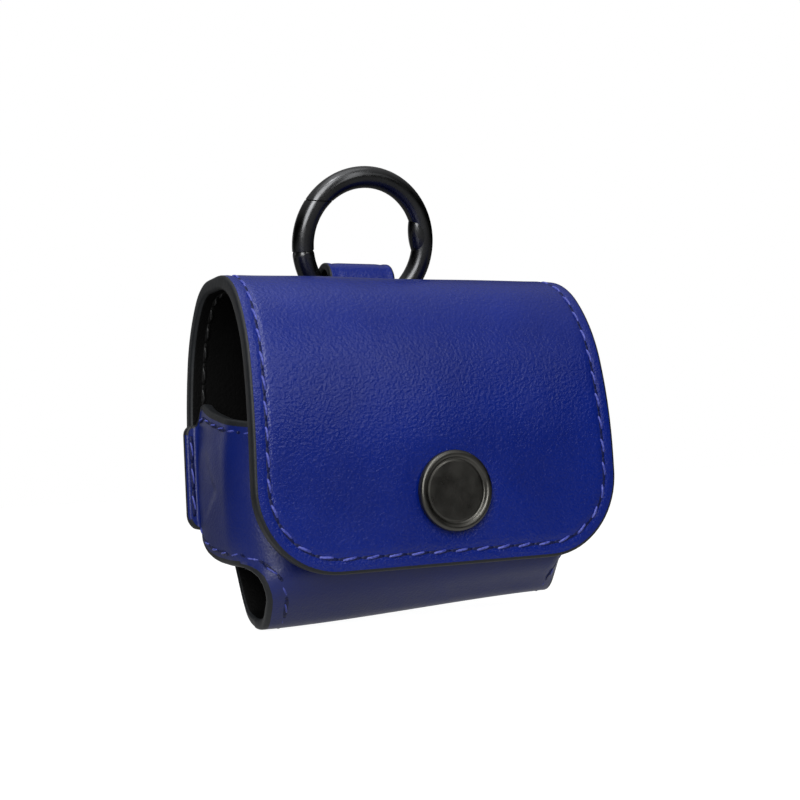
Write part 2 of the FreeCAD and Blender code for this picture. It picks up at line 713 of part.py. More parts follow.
def snap_socket():
    """Female half under the flap, with a groove for its ring spring."""
    middle = "cover + socket_height - groove_depth"
    return turned("snap_socket", [
        ("cover", "post_radius + pin_fit"),
        ("cover + socket_base", "post_radius + pin_fit"),
        ("cover + socket_base", "socket_bore"),
        (middle + " - groove", "socket_bore"),
        (middle + " - groove", "socket_bore + ring_spring_wire"),
        (middle + " + groove", "socket_bore + ring_spring_wire"),
        (middle + " + groove", "socket_bore"),
        ("cover + socket_height", "socket_bore"),
        ("cover + socket_height", "socket_radius - socket_base"),
        ("cover + socket_height - socket_base", "socket_radius"),
        ("cover", "socket_radius"),
    ])


def snap_stud():
    """Male half on the pocket's front, with a waisted head for the ring spring."""
    plate = "cover + snap_gap"
    face = plate + " - stud_plate"
    return turned("snap_stud", [
        (plate, "rivet_radius + pin_fit"),
        (plate, "stud_plate_radius"),
        (face, "stud_plate_radius - stud_plate / 2"),
        (face, "stud_neck"),
        (face + " - stud_bulge_bottom", "stud_head"),
        (face + " - stud_bulge_top", "stud_head"),
        (face + " - stud_height", "stud_tip"),
        (face + " - stud_height", "rivet_radius + pin_fit"),
    ])


def stud_rivet():
    """Rivet from inside the pocket that clamps the stud to the leather."""
    behind = "cover + snap_gap + pocket_wall + washer"
    tip = "cover + snap_gap - stud_plate - rivet_tip"
    return turned("stud_rivet", [
        (tip, "0"),
        (tip, "rivet_radius"),
        (behind, "rivet_radius"),
        (behind, "rivet_head"),
        (behind + " + rivet_head_height", "rivet_head - rivet_head_height"),
        (behind + " + rivet_head_height", "0"),
    ])


def stud_washer():
    """Flat washer that spreads the rivet's load on the pocket lining."""
    near = "cover + snap_gap + pocket_wall"
    return turned("stud_washer", [
        (near, "rivet_radius + post_play"),
        (near, "washer_radius"),
        (near + " + washer", "washer_radius"),
        (near + " + washer", "rivet_radius + post_play"),
    ])


# Part primitives, placed in the object's frame

def primitive(kind, label, **properties):
    """Part primitive whose properties are bound to expressions."""
    thing = doc.addObject(kind, label)
    thing.Label = label
    for prop, text in properties.items():
        bind(thing, prop, text)
    return thing


def place(thing, x, y, z, turn=None):
    """Turn a primitive and bind its position."""
    if turn is not None:
        thing.Placement = Placement(Vector(), turn)
    for axis, text in (("x", x), ("y", y), ("z", z)):
        bind(thing, "Placement.Base." + axis, text)
    return thing


def boolean(kind, label, base, tool):
    """Part::Cut, Part::Fuse or Part::Common of two objects."""
    result = doc.addObject(kind, label)
    result.Label = label
    result.Base = base
    result.Tool = tool
    return result


ALONG_Y = Rotation(Vector(1, 0, 0), 90)


def place_on_ring(thing, x, z, aside="0", turn=Rotation()):
    """Place a primitive by its spot on the upright ring, then lean it about the wire's lowest point.

    aside is how far it lies behind the ring's own plane.
    """
    rise = "((%s) - wire_z)" % z
    y = "wire_y - %s * sin(ring_lean) + (%s) * cos(ring_lean)" % (rise, aside)
    height = "wire_z + %s * cos(ring_lean) + (%s) * sin(ring_lean)" % (rise, aside)
    lean = Rotation(Vector(1, 0, 0), value("ring_lean"))
    return place(thing, x, y, height, lean.multiply(turn))


def wire_arc(label, start, span):
    """Round wire along part of the ring, from an angle and over a span in degrees."""
    arc = primitive("Part::Torus", label, Radius1="ring_radius", Radius2="wire_radius", Angle3=span)
    turn = ALONG_Y.multiply(Rotation(Vector(0, 0, 1), value(start)))
    return place_on_ring(arc, "ring_shift", "ring_z", turn=turn)


def bar_along_y(label, radius, length, x, z):
    """Cylinder along Y, centred on the ring's plane."""
    bar = primitive("Part::Cylinder", label, Radius=radius, Height=length)
    return place_on_ring(bar, x, z, "(%s) / 2" % length, ALONG_Y)


def ball(label, radius, x, z):
    return place_on_ring(primitive("Part::Sphere", label, Radius=radius), x, z)


def slab(label, thickness, x, z, wide, high):
    """Box centred on the ring's plane, from a low corner in X and Z."""
    box = primitive("Part::Box", label, Length=wide, Width=thickness, Height=high)
    return place_on_ring(box, x, z, "-(%s) / 2" % thickness)


# Direction of the spring's bore from the pin, along a chord of the wire's centre line
BORE_HEADING = "(pivot_angle + 90 + asin(bore_depth / ring_radius / 2) / (1 deg))"


def place_along_bore(thing, distance, aside, turn):
    """Place a primitive in the bore: a distance from the pin, and aside towards the ring's middle."""
    x = "pivot_x + (%s) * cos(%s) - (%s) * sin(%s)" % (distance, BORE_HEADING, aside, BORE_HEADING)
    z = "pivot_z + (%s) * sin(%s) + (%s) * cos(%s)" % (distance, BORE_HEADING, aside, BORE_HEADING)
    return place_on_ring(thing, x, z, turn=turn)


def along_bore():
    """Turn that points a cylinder from the pin down the bore."""
    lie_down = Rotation(Vector(0, 0, 1), Vector(1, 0, 0))
    return Rotation(Vector(0, -1, 0), value(BORE_HEADING)).multiply(lie_down)


def ring_body():
    """Open ring with ears for the gate, a bore for its spring, and a stop nub inside."""
    wire = wire_arc("ring_wire", "pivot_angle", "360 + nose_angle + gate_spare - pivot_angle")
    end = ball("ring_ear_end", "wire_radius", "pivot_x", "pivot_z")
    wire = boolean("Part::Fuse", "ring_wire_and_ears", wire, end)
    nub = primitive("Part::Ellipsoid", "ring_nub", Radius1="nub_half_length", Radius2="wire_radius",
                    Radius3="nub_half_width")
    nub.Angle1 = -90
    nub.Angle2 = 90
    nub.Angle3 = 360
    inset = "(ring_radius - nub_height)"
    place_on_ring(nub, "ring_shift + " + inset + " * cos(nub_angle)",
                  "ring_z + " + inset + " * sin(nub_angle)",
                  turn=Rotation(Vector(0, -1, 0), value("nub_angle")))
    wire = boolean("Part::Fuse", "ring_with_nub", wire, nub)
    nose = slab("ring_nose_cut", "4 * wire_radius", "ring_shift - ring_radius - 2 * wire_radius",
                "nose_z - 2 * wire_radius", "ring_radius", "2 * wire_radius + gate_play / 2")
    wire = boolean("Part::Cut", "ring_nose", wire, nose)
    slot = bar_along_y("ring_slot", "tongue_radius + gate_play", "tongue + 2 * tongue_play",
                       "pivot_x", "pivot_z")
    mouth = slab("ring_slot_mouth", "tongue + 2 * tongue_play", "pivot_x - 2 * wire_radius", "pivot_z",
                 "4 * wire_radius", "2 * wire_radius")
    slot = boolean("Part::Fuse", "ring_slot_all", slot, mouth)
    wire = boolean("Part::Cut", "ring_fork", wire, slot)
    pin = bar_along_y("ring_pin_bore", "pin_radius + pin_fit", "4 * wire_radius", "pivot_x", "pivot_z")
    wire = boolean("Part::Cut", "ring_drilled", wire, pin)
    bore = primitive("Part::Cylinder", "ring_spring_bore", Radius="spring_bore", Height="bore_depth")
    place_along_bore(bore, "0", "0", along_bore())
    return boolean("Part::Cut", "ring_body", wire, bore)


def ring_gate():
    """Gate that closes the ring, with a tongue on the pin between the ring's ears."""
    wire = wire_arc("gate_wire", "nose_angle - gate_spare", "pivot_angle - nose_angle + gate_spare")
    nose = slab("gate_nose_cut", "4 * wire_radius", "ring_shift - ring_radius - 2 * wire_radius",
                "nose_z - gate_play / 2", "2 * ring_radius", "ring_radius")
    wire = boolean("Part::Cut", "gate_nose", wire, nose)
    hollow = ball("gate_hollow", "wire_radius + gate_play", "pivot_x", "pivot_z")
    wire = boolean("Part::Cut", "gate_hollowed", wire, hollow)
    tongue = bar_along_y("gate_tongue", "tongue_radius", "tongue", "pivot_x", "pivot_z")
    neck = slab("gate_neck", "tongue", "pivot_x - neck_width / 2", "pivot_z", "neck_width",
                "neck_height")
    tongue = boolean("Part::Fuse", "gate_tongue_and_neck", tongue, neck)
    wire = boolean("Part::Fuse", "gate_with_tongue", wire, tongue)
    pin = bar_along_y("gate_pin_bore", "pin_radius + pin_run", "4 * wire_radius", "pivot_x", "pivot_z")
    return boolean("Part::Cut", "ring_gate", wire, pin)


def gate_pin():
    return bar_along_y("gate_pin", "pin_radius", "pin_length", "pivot_x", "pivot_z")


def gate_spring():
    """Hairpin of spring wire in the bore, with its bend at the bottom and its legs at the tongue."""
    low = "(bore_depth - spring_bend - spring_wire)"
    bend = primitive("Part::Torus", "spring_bend", Radius1="spring_bend", Radius2="spring_wire")
    bend.Angle3 = 180
    turn = Rotation(Vector(0, -1, 0), value(BORE_HEADING) - 90).multiply(ALONG_Y)
    place_along_bore(bend, low, "0", turn)
    hairpin = bend
    for side, name in ((1, "spring_front_leg"), (-1, "spring_back_leg")):
        leg = primitive("Part::Cylinder", name, Radius="spring_wire", Height="spring_leg")
        place_along_bore(leg, low + " - spring_leg", "%d * spring_bend" % side, along_bore())
        label = "gate_spring" if name == "spring_back_leg" else "spring_hook"
        hairpin = boolean("Part::Fuse", label, hairpin, leg)
    return hairpin


def socket_spring():
    """Open ring spring in the socket's groove."""
    spring = primitive("Part::Torus", "socket_spring", Radius1="socket_bore - ring_spring_wire / 2",
                       Radius2="ring_spring_wire", Angle3="ring_spring_span")
    return place(spring, "snap_shift", "cover + socket_height - groove_depth - front_reach",
                 "snap_height", ALONG_Y)


def check(things):
    """Stop if any object failed or any sub-part is empty, invalid or in several solids."""
    for thing in doc.Objects:
        faults = [state for state in thing.State if state in ("Invalid", "Error")]
        if faults:
            raise ValueError("%s is %s" % (thing.Label, faults))
    for thing in things:
        shape = thing.Shape
        if shape.isNull() or not shape.isValid():
            raise ValueError(thing.Label + " has no valid shape")
        if len(shape.Solids) != 1:
            raise ValueError("%s has %d solids" % (thing.Label, len(shape.Solids)))


fill_sheets()
cover_plies = [
    flap_ply("flap_leather", "0", "leather"),
    flap_ply("flap_lining", "leather", "cover"),
    back_ply("back_panel", "0", "leather"),
    back_ply("back_lining", "leather", "cover"),
]
pocket_plies = [
    pocket_ply("pocket_leather", "0", "pocket_leather"),
    pocket_ply("pocket_lining", "pocket_leather", "pocket_wall"),
]
leather_loop = [loop_base(), loop_eye()]
fastener = [snap_cap(), snap_socket(), socket_spring(), snap_stud(), stud_rivet(), stud_washer()]
gate_ring = [ring_body(), ring_gate(), gate_pin(), gate_spring()]
parts = cover_plies + pocket_plies + leather_loop + fastener + gate_ring
doc.recompute()
check(parts)
os.makedirs("parts", exist_ok=True)
for part in parts:
    part.Shape.exportStep("parts/%s.step" % part.Label)
    box = part.Shape.BoundBox
    print("%-16s %9.2f mm3  X %.1f..%.1f  Y %.1f..%.1f  Z %.1f..%.1f" % (
        part.Label, part.Shape.Volume, box.XMin, box.XMax, box.YMin, box.YMax, box.ZMin, box.ZMax))
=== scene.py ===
import math
import random

import bpy
import numpy as np
from mathutils import Matrix, Vector
from mathutils.kdtree import KDTree


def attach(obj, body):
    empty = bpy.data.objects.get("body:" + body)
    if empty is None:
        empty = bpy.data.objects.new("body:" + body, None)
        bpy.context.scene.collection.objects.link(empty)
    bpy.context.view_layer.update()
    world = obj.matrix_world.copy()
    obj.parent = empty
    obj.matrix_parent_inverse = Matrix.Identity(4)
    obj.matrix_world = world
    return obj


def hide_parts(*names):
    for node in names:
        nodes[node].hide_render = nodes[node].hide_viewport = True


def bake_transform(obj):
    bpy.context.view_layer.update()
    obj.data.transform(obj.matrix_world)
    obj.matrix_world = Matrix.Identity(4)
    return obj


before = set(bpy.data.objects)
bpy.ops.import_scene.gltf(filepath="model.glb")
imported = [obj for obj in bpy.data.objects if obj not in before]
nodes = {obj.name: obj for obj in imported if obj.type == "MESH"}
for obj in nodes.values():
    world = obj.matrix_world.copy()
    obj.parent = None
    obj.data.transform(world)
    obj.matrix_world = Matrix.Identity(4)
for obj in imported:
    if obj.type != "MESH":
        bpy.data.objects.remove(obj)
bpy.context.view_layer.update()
MM = 0.001
rng = random.Random(7)

# Sizes in millimetres, as in the CAD
DEPTH = 34.0
FRONT_REACH = 17.6
RIDGE_Z = 58.6
HALF_FLAT = 2.15
BACK_LOW = 17.0
FLAP_LOW = 8.8
FLAP_HALF = 33.5
RIDGE_HALF = 32.4
BACK_HALF = 33.4
FLARE_Z = 30.0
COVER = 2.5
SNAP_X = 1.0
SNAP_Z = 21.0
POCKET_WALL = 1.8
FRONT_BENDS = [(12.0, 50.0), (24.0, 28.0), (70.0, 12.0)]
REAR_BENDS = [(8.0, 50.0), (20.0, 30.0), (60.0, 10.0)]
STRAP = 1.3
STRAP_HALF = 6.6
STRAP_LOW = 31.883
ROOT_LIFT = 22.19
WIRE_Y = 15.466
WIRE_Z = 55.5
WIRE_ROOM = 2.3
SLOT_RISE = 4.876
RING_LEAN = 15.0
RING_X = 1.2
RING_Z = 67.7
RING_R = 12.2
NOSE_ANGLE = 142.0

PITCH = 4.0
SEAM = 2.4


def sine(degrees):
    return math.sin(math.radians(degrees))


def cosine(degrees):
    return math.cos(math.radians(degrees))


def bend_span(bends):
    """Level distance and drop of bends that start level, one after another."""
    level, drop, turned = 0.0, 0.0, 0.0
    for radius, turn in bends:
        level += radius * (sine(turned + turn) - sine(turned))
        drop += radius * (cosine(turned) - cosine(turned + turn))
        turned += turn
    return level, drop


front_run, front_fall = bend_span(FRONT_BENDS)
rear_run, rear_fall = bend_span(REAR_BENDS)
ARCH = (DEPTH - 2 * HALF_FLAT) / (front_run + rear_run)
HINGE_Y = front_run * ARCH + HALF_FLAT - FRONT_REACH
BACK_Y = DEPTH - FRONT_REACH
FLAP_STRAIGHT = RIDGE_Z - front_fall * ARCH - FLAP_LOW
BACK_STRAIGHT = RIDGE_Z - rear_fall * ARCH - BACK_LOW
POCKET_Y = COVER + 3.2 - FRONT_REACH


# Paths of bent sheets in a plane

class Path:
    """Tangent lines and arcs in a plane, sampled by arc length. Left turns are positive."""

    def __init__(self, start, heading, pieces):
        self.parts = []
        p = np.array(start, float)
        a = math.radians(heading)
        s = 0.0
        for kind, size, turn in pieces:
            if kind == "line":
                self.parts.append((s, size, p.copy(), a, 0.0))
                p = p + size * np.array([math.cos(a), math.sin(a)])
                s += size
            else:
                length = size * math.radians(abs(turn))
                bend = math.copysign(1.0 / size, turn)
                self.parts.append((s, length, p.copy(), a, bend))
                b = a + bend * length
                p = p + np.array([math.sin(b) - math.sin(a), math.cos(a) - math.cos(b)]) / bend
                a = b
                s += length
        self.length = s

    def at(self, s):
        """Point and heading at arc length s; before and after the ends it runs straight on."""
        part = self.parts[0]
        for other in self.parts:
            if s >= other[0]:
                part = other
        s0, length, p, a, bend = part
        d = s - s0
        if abs(bend) < 1e-9:
            return p + d * np.array([math.cos(a), math.sin(a)]), a
        over = max(0.0, d - length)
        under = min(0.0, d)
        inside = d - over - under
        b = a + bend * inside
        q = p + np.array([math.sin(b) - math.sin(a), math.cos(a) - math.cos(b)]) / bend
        return q + (over + under) * np.array([math.cos(b), math.sin(b)]), b


def smooth(t):
    t = np.clip(t, 0.0, 1.0)
    return t * t * (3 - 2 * t)


def waves(x, y, scale, seed):
    """Smooth noise made of a few slanted sine waves, about -1 to 1."""
    pick = random.Random(seed)
    total = 0.0
    for k in range(6):
        angle = pick.uniform(0, math.pi)
        size = scale * pick.uniform(0.6, 1.7)
        phase = pick.uniform(0, 6.28)
        total = total + np.sin((x * math.cos(angle) + y * math.sin(angle)) * 6.28 / size + phase)
    return total / 3.2


# Mesh helpers

def new_mesh(name, verts, faces, mats, indices=None, smooth_faces=True):
    mesh = bpy.data.meshes.new(name)
    mesh.from_pydata([tuple(float(c) * MM for c in v) for v in verts], [], [tuple(f) for f in faces])
    for mat in mats:
        mesh.materials.append(mat)
    if indices is not None:
        mesh.polygons.foreach_set("material_index", indices)
    mesh.polygons.foreach_set("use_smooth", [smooth_faces] * len(mesh.polygons))
    mesh.validate()
    mesh.update()
    thing = bpy.data.objects.new(name, mesh)
    bpy.context.scene.collection.objects.link(thing)
    return thing


def surface_normals(verts, faces):
    """Area-weighted vertex normals."""
    v = np.asarray(verts)
    n = np.zeros_like(v)
    f = np.asarray(faces)
    cross = np.cross(v[f[:, 2]] - v[f[:, 0]], v[f[:, 3]] - v[f[:, 1]])
    for k in range(4):
        np.add.at(n, f[:, k], cross)
    return n / np.maximum(np.linalg.norm(n, axis=1, keepdims=True), 1e-12)


def border_loop(faces):
    """Ordered vertices of a sheet's single border, in the faces' own direction."""
    edges = {}
    for f in faces:
        for k in range(len(f)):
            edges[(f[k], f[(k + 1) % len(f)])] = True
    onward = {a: b for a, b in edges if (b, a) not in edges}
    start = min(onward)
    loop = [start]
    while onward[loop[-1]] != start:
        loop.append(onward[loop[-1]])
    return loop


def clear_border(points, ring, away, edge):
    """Move the points that lie within the rounded edge inward, past its start."""
    tree = KDTree(len(ring))
    for k, i in enumerate(ring):
        tree.insert(Vector(points[i]), k)
    tree.balance()
    near = edge + 0.12
    reach = edge + 0.7
    border = set(int(i) for i in ring)
    moved = points.copy()
    for i, p in enumerate(points):
        if i in border:
            continue
        k = tree.find(Vector(p))[1]
        gap = -float(np.dot(p - points[ring[k]], away[k]))
        if gap < reach:
            moved[i] = p - away[k] * (near + (reach - near) * max(gap, 0.0) / reach - gap)
    return moved


def leather_shell(name, verts, faces, inner_verts, mats, edge=0.5, steps=4, painted=(), bare=()):
    """Closed sheet with rounded, painted edges from its outer surface and the matching inner one.

    verts: outer vertices. inner_verts: inner ones. mats: outer leather, edge paint, lining.
    painted: border vertices whose paint laps onto the face. bare: those whose outer edge has none.
    """
    outer = np.array(verts, float)
    inner = np.array(inner_verts, float)
    faces = [tuple(int(i) for i in f) for f in faces]
    normals = surface_normals(outer, faces)
    loop = border_loop(faces)
    ring = np.array(loop)
    rim = outer[ring]
    rim_in = inner[ring]
    along = np.roll(rim, -1, axis=0) - np.roll(rim, 1, axis=0)
    along /= np.linalg.norm(along, axis=1, keepdims=True)
    n = normals[ring]
    away = np.cross(along, n)
    away /= np.linalg.norm(away, axis=1, keepdims=True)
    depth = np.linalg.norm(rim_in - rim, axis=1)
    n = (rim - rim_in) / depth[:, None]
    away = away - n * np.sum(away * n, axis=1, keepdims=True)
    away /= np.linalg.norm(away, axis=1, keepdims=True)
    outer = clear_border(outer, ring, away, edge)
    inner = clear_border(inner, ring, away, edge)
    all_verts = list(outer)
    count = len(outer)
    all_verts += list(inner)
    outer_rim = rim - away * edge
    for k, i in enumerate(ring):
        all_verts[i] = outer_rim[k]
        all_verts[count + i] = rim_in[k] - away[k] * edge
    rings = [list(ring)]
    profile = []
    for k in range(1, steps + 1):
        a = math.pi / 2 * k / steps
        profile.append((edge * math.sin(a), edge * (1 - math.cos(a)), 0.0))
    for k in range(0, steps):
        a = math.pi / 2 * k / steps
        profile.append((edge * math.cos(a), -edge * (1 - math.sin(a)), 1.0))
    for out, down, side in profile:
        start = len(all_verts)
        for k in range(len(ring)):
            place = outer_rim[k] + away[k] * out - n[k] * (down + side * depth[k])
            all_verts.append(place)
        rings.append(list(range(start, start + len(ring))))
    rings.append([count + int(i) for i in ring])
    all_faces = list(faces)
    painted = set(painted)
    index = [1 if painted & set(f) else 0 for f in faces]
    for f in faces:
        all_faces.append(tuple(count + i for i in reversed(f)))
        index.append(2)
    m = len(ring)
    bare = set(bare)
    for level, (a, b) in enumerate(zip(rings, rings[1:])):
        for k in range(m):
            q = (k + 1) % m
            all_faces.append((int(a[q]), int(a[k]), int(b[k]), int(b[q])))
            index.append(0 if level < steps and loop[k] in bare else 1)
    return new_mesh(name, all_verts, all_faces, mats, index)


def even_points(points, pitch):
    """Points spread evenly along an open polyline, with a whole number of steps of about pitch."""
    p = np.array(points, float)
    d = np.linalg.norm(np.diff(p, axis=0), axis=1)
    s = np.concatenate([[0], np.cumsum(d)])
    count = max(1, int(round(s[-1] / pitch)))
    spots = np.linspace(0, s[-1], count + 1)
    return np.stack([np.interp(spots, s, p[:, k]) for k in range(p.shape[1])], axis=1)


def stitches(name, runs, mats, lift=0.25, radius=0.23):
    """Thread along runs of (points, normals) at its needle holes, each stitch on a dark flat bed: painted
    shade of its groove, its shadow and the needle holes.
    """
    verts, faces, index = [], [], []
    sides = 8
    steps = 9
    slant = 9.0
    buried_ends = 0.3
    shade_bed_wide = 0.42
    shade_bed_high = 0.12

    def bead(mid, along, up, half, wide, high, arched, buried, mark):
        """Closed bead that rises to arched above the surface and ends buried below it."""
        across = np.cross(up, along)
        start = len(verts)
        for k in range(steps):
            x = -1 + 2 * k / (steps - 1)
            arch = 1 - abs(x) ** 3.2
            centre = mid + along * half * x + up * (arched * arch - buried * (1 - arch))
            thick = 0.55 + 0.45 * (1 - abs(x) ** 3)
            for j in range(sides):
                c = 2 * math.pi * j / sides
                verts.append(centre + across * math.cos(c) * thick * wide + up * math.sin(c) * thick * high)
        for k in range(steps - 1):
            for j in range(sides):
                q = (j + 1) % sides
                r0 = start + k * sides
                faces.append((r0 + j, r0 + q, r0 + sides + q, r0 + sides + j))
        faces.append(tuple(start + j for j in reversed(range(sides))))
        faces.append(tuple(start + (steps - 1) * sides + j for j in range(sides)))
        index.extend([mark] * (len(faces) - len(index)))

    for points, normals in runs:
        for a, b, na, nb in zip(points, points[1:], normals, normals[1:]):
            n = na + nb
            n = n / np.linalg.norm(n)
            t = b - a
            gap = np.linalg.norm(t)
            t = t / gap
            side = np.cross(n, t)
            turn = math.radians(slant + rng.uniform(-2.5, 2.5))
            d = t * math.cos(turn) + side * math.sin(turn)
            d = d - n * np.dot(d, n)
            d = d / np.linalg.norm(d)
            mid = (a + b) / 2
            half = gap * 0.37 * rng.uniform(0.94, 1.04)
            fat = radius * rng.uniform(0.93, 1.07)
            bead(mid, d, n, half, fat, fat * 0.85, lift, buried_ends, 0)
            # Dark flat bed under the stitch, out past its ends: painted shade of the groove, the thread's
            # shadow and the needle holes
            bead(mid, t, n, gap * 0.5, shade_bed_wide, shade_bed_high, 0.0, 0.0, 1)
    return new_mesh(name, verts, faces, mats, index)


# Materials

def new_material(name):
    mat = bpy.data.materials.new(name)
    mat.use_nodes = True
    tree = mat.node_tree
    shader = tree.nodes["Principled BSDF"]
    return mat, tree, shader


def node(tree, kind, **settings):
    made = tree.nodes.new(kind)
    for key, setting in settings.items():
        if key in made.inputs:
            made.inputs[key].default_value = setting
        else:
            setattr(made, key, setting)
    return made


def noise(tree, coords, scale, detail=2.0, rough=0.5):
    made = node(tree, "ShaderNodeTexNoise", Scale=scale, Detail=detail, Roughness=rough)
    tree.links.new(coords.outputs["Object"], made.inputs["Vector"])
    return made.outputs["Fac"]


def cells(tree, coords, scale, feature="F1", bent=None):
    made = node(tree, "ShaderNodeTexVoronoi", Scale=scale, feature=feature)
    tree.links.new(bent if bent is not None else coords.outputs["Object"], made.inputs["Vector"])
    return made.outputs["Distance"]


def ramp(tree, factor, stops):
    made = tree.nodes.new("ShaderNodeValToRGB")
    bar = made.color_ramp
    while len(bar.elements) < len(stops):
        bar.elements.new(0.5)
    for element, (place, colour) in zip(bar.elements, stops):
        element.position = place
        element.color = (*colour, 1.0)
    tree.links.new(factor, made.inputs["Fac"])
    return made.outputs["Color"]


def math_node(tree, kind, a, b=None):
    made = node(tree, "ShaderNodeMath", operation=kind)
    for slot, part in enumerate((a, b)):
        if part is None:
            continue
        if isinstance(part, (int, float)):
            made.inputs[slot].default_value = part
        else:
            tree.links.new(part, made.inputs[slot])
    return made.outputs["Value"]


def bump(tree, height, distance, strength=1.0, before=None):
    made = node(tree, "ShaderNodeBump", Strength=strength, Distance=distance)
    tree.links.new(height, made.inputs["Height"])
    if before is not None:
        tree.links.new(before, made.inputs["Normal"])
    return made.outputs["Normal"]


def grain_bump(tree, coords, pebble, depth):
    """Fine leather grain: small soft cells, warped, with finer noise between them."""
    warp = node(tree, "ShaderNodeTexNoise", Scale=1800.0, Detail=2.0)
    tree.links.new(coords.outputs["Object"], warp.inputs["Vector"])
    mix = node(tree, "ShaderNodeMix", data_type="RGBA", blend_type="LINEAR_LIGHT")
    mix.inputs["Factor"].default_value = 0.0003
    tree.links.new(coords.outputs["Object"], mix.inputs[6])
    tree.links.new(warp.outputs["Color"], mix.inputs[7])
    small = cells(tree, coords, pebble, "SMOOTH_F1", mix.outputs[2])
    fine = noise(tree, coords, pebble * 1.9, 3.0, 0.6)
    sum_up = math_node(tree, "ADD", math_node(tree, "MULTIPLY", small, 1.0),
                       math_node(tree, "MULTIPLY", fine, 0.55))
    return bump(tree, sum_up, depth)


def leather(name, dark, light, rough, shine=0.5, pebble=2200.0, depth=0.00008):
    mat, tree, shader = new_material(name)
    coords = tree.nodes.new("ShaderNodeTexCoord")
    cloud = noise(tree, coords, 60.0, 3.0)
    tint = ramp(tree, cloud, [(0.3, dark), (0.7, light)])
    tree.links.new(tint, shader.inputs["Base Color"])
    gloss = noise(tree, coords, 260.0, 3.0)
    span = node(tree, "ShaderNodeMapRange")
    span.inputs["From Min"].default_value = 0.3
    span.inputs["From Max"].default_value = 0.7
    span.inputs["To Min"].default_value = rough - 0.04
    span.inputs["To Max"].default_value = rough + 0.05
    tree.links.new(gloss, span.inputs["Value"])
    tree.links.new(span.outputs["Result"], shader.inputs["Roughness"])
    grain = grain_bump(tree, coords, pebble, depth)
    shader.inputs["Specular IOR Level"].default_value = shine
    wide = bump(tree, noise(tree, coords, 120.0, 2.0), depth * 1.5, 0.6, grain)
    tree.links.new(wide, shader.inputs["Normal"])
    return mat


def paint(name, colour, rough):
    """Edge paint: slightly uneven, soft gloss."""
    mat, tree, shader = new_material(name)
    coords = tree.nodes.new("ShaderNodeTexCoord")
    patch = noise(tree, coords, 300.0, 3.0)
    low = tuple(c * 0.75 for c in colour)
    high = tuple(c * 1.3 for c in colour)
    tree.links.new(ramp(tree, patch, [(0.3, low), (0.7, high)]), shader.inputs["Base Color"])
    tree.links.new(bump(tree, noise(tree, coords, 900.0, 3.0), 0.00006), shader.inputs["Normal"])
    shader.inputs["Roughness"].default_value = rough
    shader.inputs["Specular IOR Level"].default_value = 0.35
    return mat


def thread(name, dark, light):
    mat, tree, shader = new_material(name)
    coords = tree.nodes.new("ShaderNodeTexCoord")
    strands = noise(tree, coords, 2500.0, 2.0)
    tree.links.new(ramp(tree, strands, [(0.35, dark), (0.65, light)]), shader.inputs["Base Color"])
    tree.links.new(bump(tree, strands, 0.00008), shader.inputs["Normal"])
    shader.inputs["Roughness"].default_value = 0.45
    return mat


def metal(name, dark, light, rough, scratch=1800.0):
    mat, tree, shader = new_material(name)
    coords = tree.nodes.new("ShaderNodeTexCoord")
    tone = noise(tree, coords, 140.0, 3.0)
    tree.links.new(ramp(tree, tone, [(0.3, dark), (0.7, light)]), shader.inputs["Base Color"])
    shader.inputs["Metallic"].default_value = 1.0
    wear = noise(tree, coords, 420.0, 4.0)
    span = node(tree, "ShaderNodeMapRange")
    span.inputs["From Min"].default_value = 0.3
    span.inputs["From Max"].default_value = 0.7
    span.inputs["To Min"].default_value = rough * 0.8
    span.inputs["To Max"].default_value = rough * 1.25
    tree.links.new(wear, span.inputs["Value"])
    tree.links.new(span.outputs["Result"], shader.inputs["Roughness"])
    tree.links.new(bump(tree, noise(tree, coords, scratch, 2.0), 0.000001), shader.inputs["Normal"])
    return mat


BLUE = leather("blue_leather", (0.0026, 0.0120, 0.160), (0.0038, 0.0165, 0.205), 0.23)
# The pocket is the cover's blue leather with a darker, greyer base: painted shade on the pocket's sides and
# fold
POCKET_BLUE_SHADED = leather("pocket_leather", (0.0030, 0.0100, 0.110), (0.0042, 0.0140, 0.145), 0.36, 0.5,
                      2400.0, 0.00003)
EDGE = paint("edge_paint", (0.0100, 0.0115, 0.0135), 0.5)
LINING = leather("black_lining", (0.0015, 0.0015, 0.0015), (0.003, 0.003, 0.003), 0.6, 0.1, 2600.0, 0.00006)
THREAD = thread("blue_thread", (0.030, 0.045, 0.30), (0.10, 0.12, 0.50))
DARK_THREAD = thread("black_thread", (0.003, 0.003, 0.003), (0.012, 0.012, 0.013))
# Darker blue and black for the beds under the stitches: painted shade of the seams' grooves, the threads'
# shadows and the needle holes
SEAM_SHADE = leather("painted_seam_shade_blue", (0.0016, 0.0045, 0.045), (0.0024, 0.0065, 0.065), 0.5, 0.3)
DARK_SEAM_SHADE = leather("painted_seam_shade_black", (0.0015, 0.0015, 0.0015), (0.003, 0.003, 0.003), 0.6, 0.2)
SNAP_METAL = metal("snap_metal", (0.085, 0.083, 0.075), (0.115, 0.112, 0.102), 0.34)
RING_METAL = metal("ring_metal", (0.070, 0.071, 0.073), (0.100, 0.102, 0.105), 0.25)
# Near-black for the disc in the ring's nose gap: painted shade
GAP_SHADE_BLACK = metal("painted_gap_shade", (0.010, 0.010, 0.010), (0.018, 0.018, 0.018), 0.5)
STEEL = metal("spring_steel", (0.45, 0.45, 0.45), (0.6, 0.6, 0.6), 0.3)


# Cover: back panel, ridge and flap are one sheet

def bend_pieces(bends):
    return [("arc", radius * ARCH, turn) for radius, turn in bends]


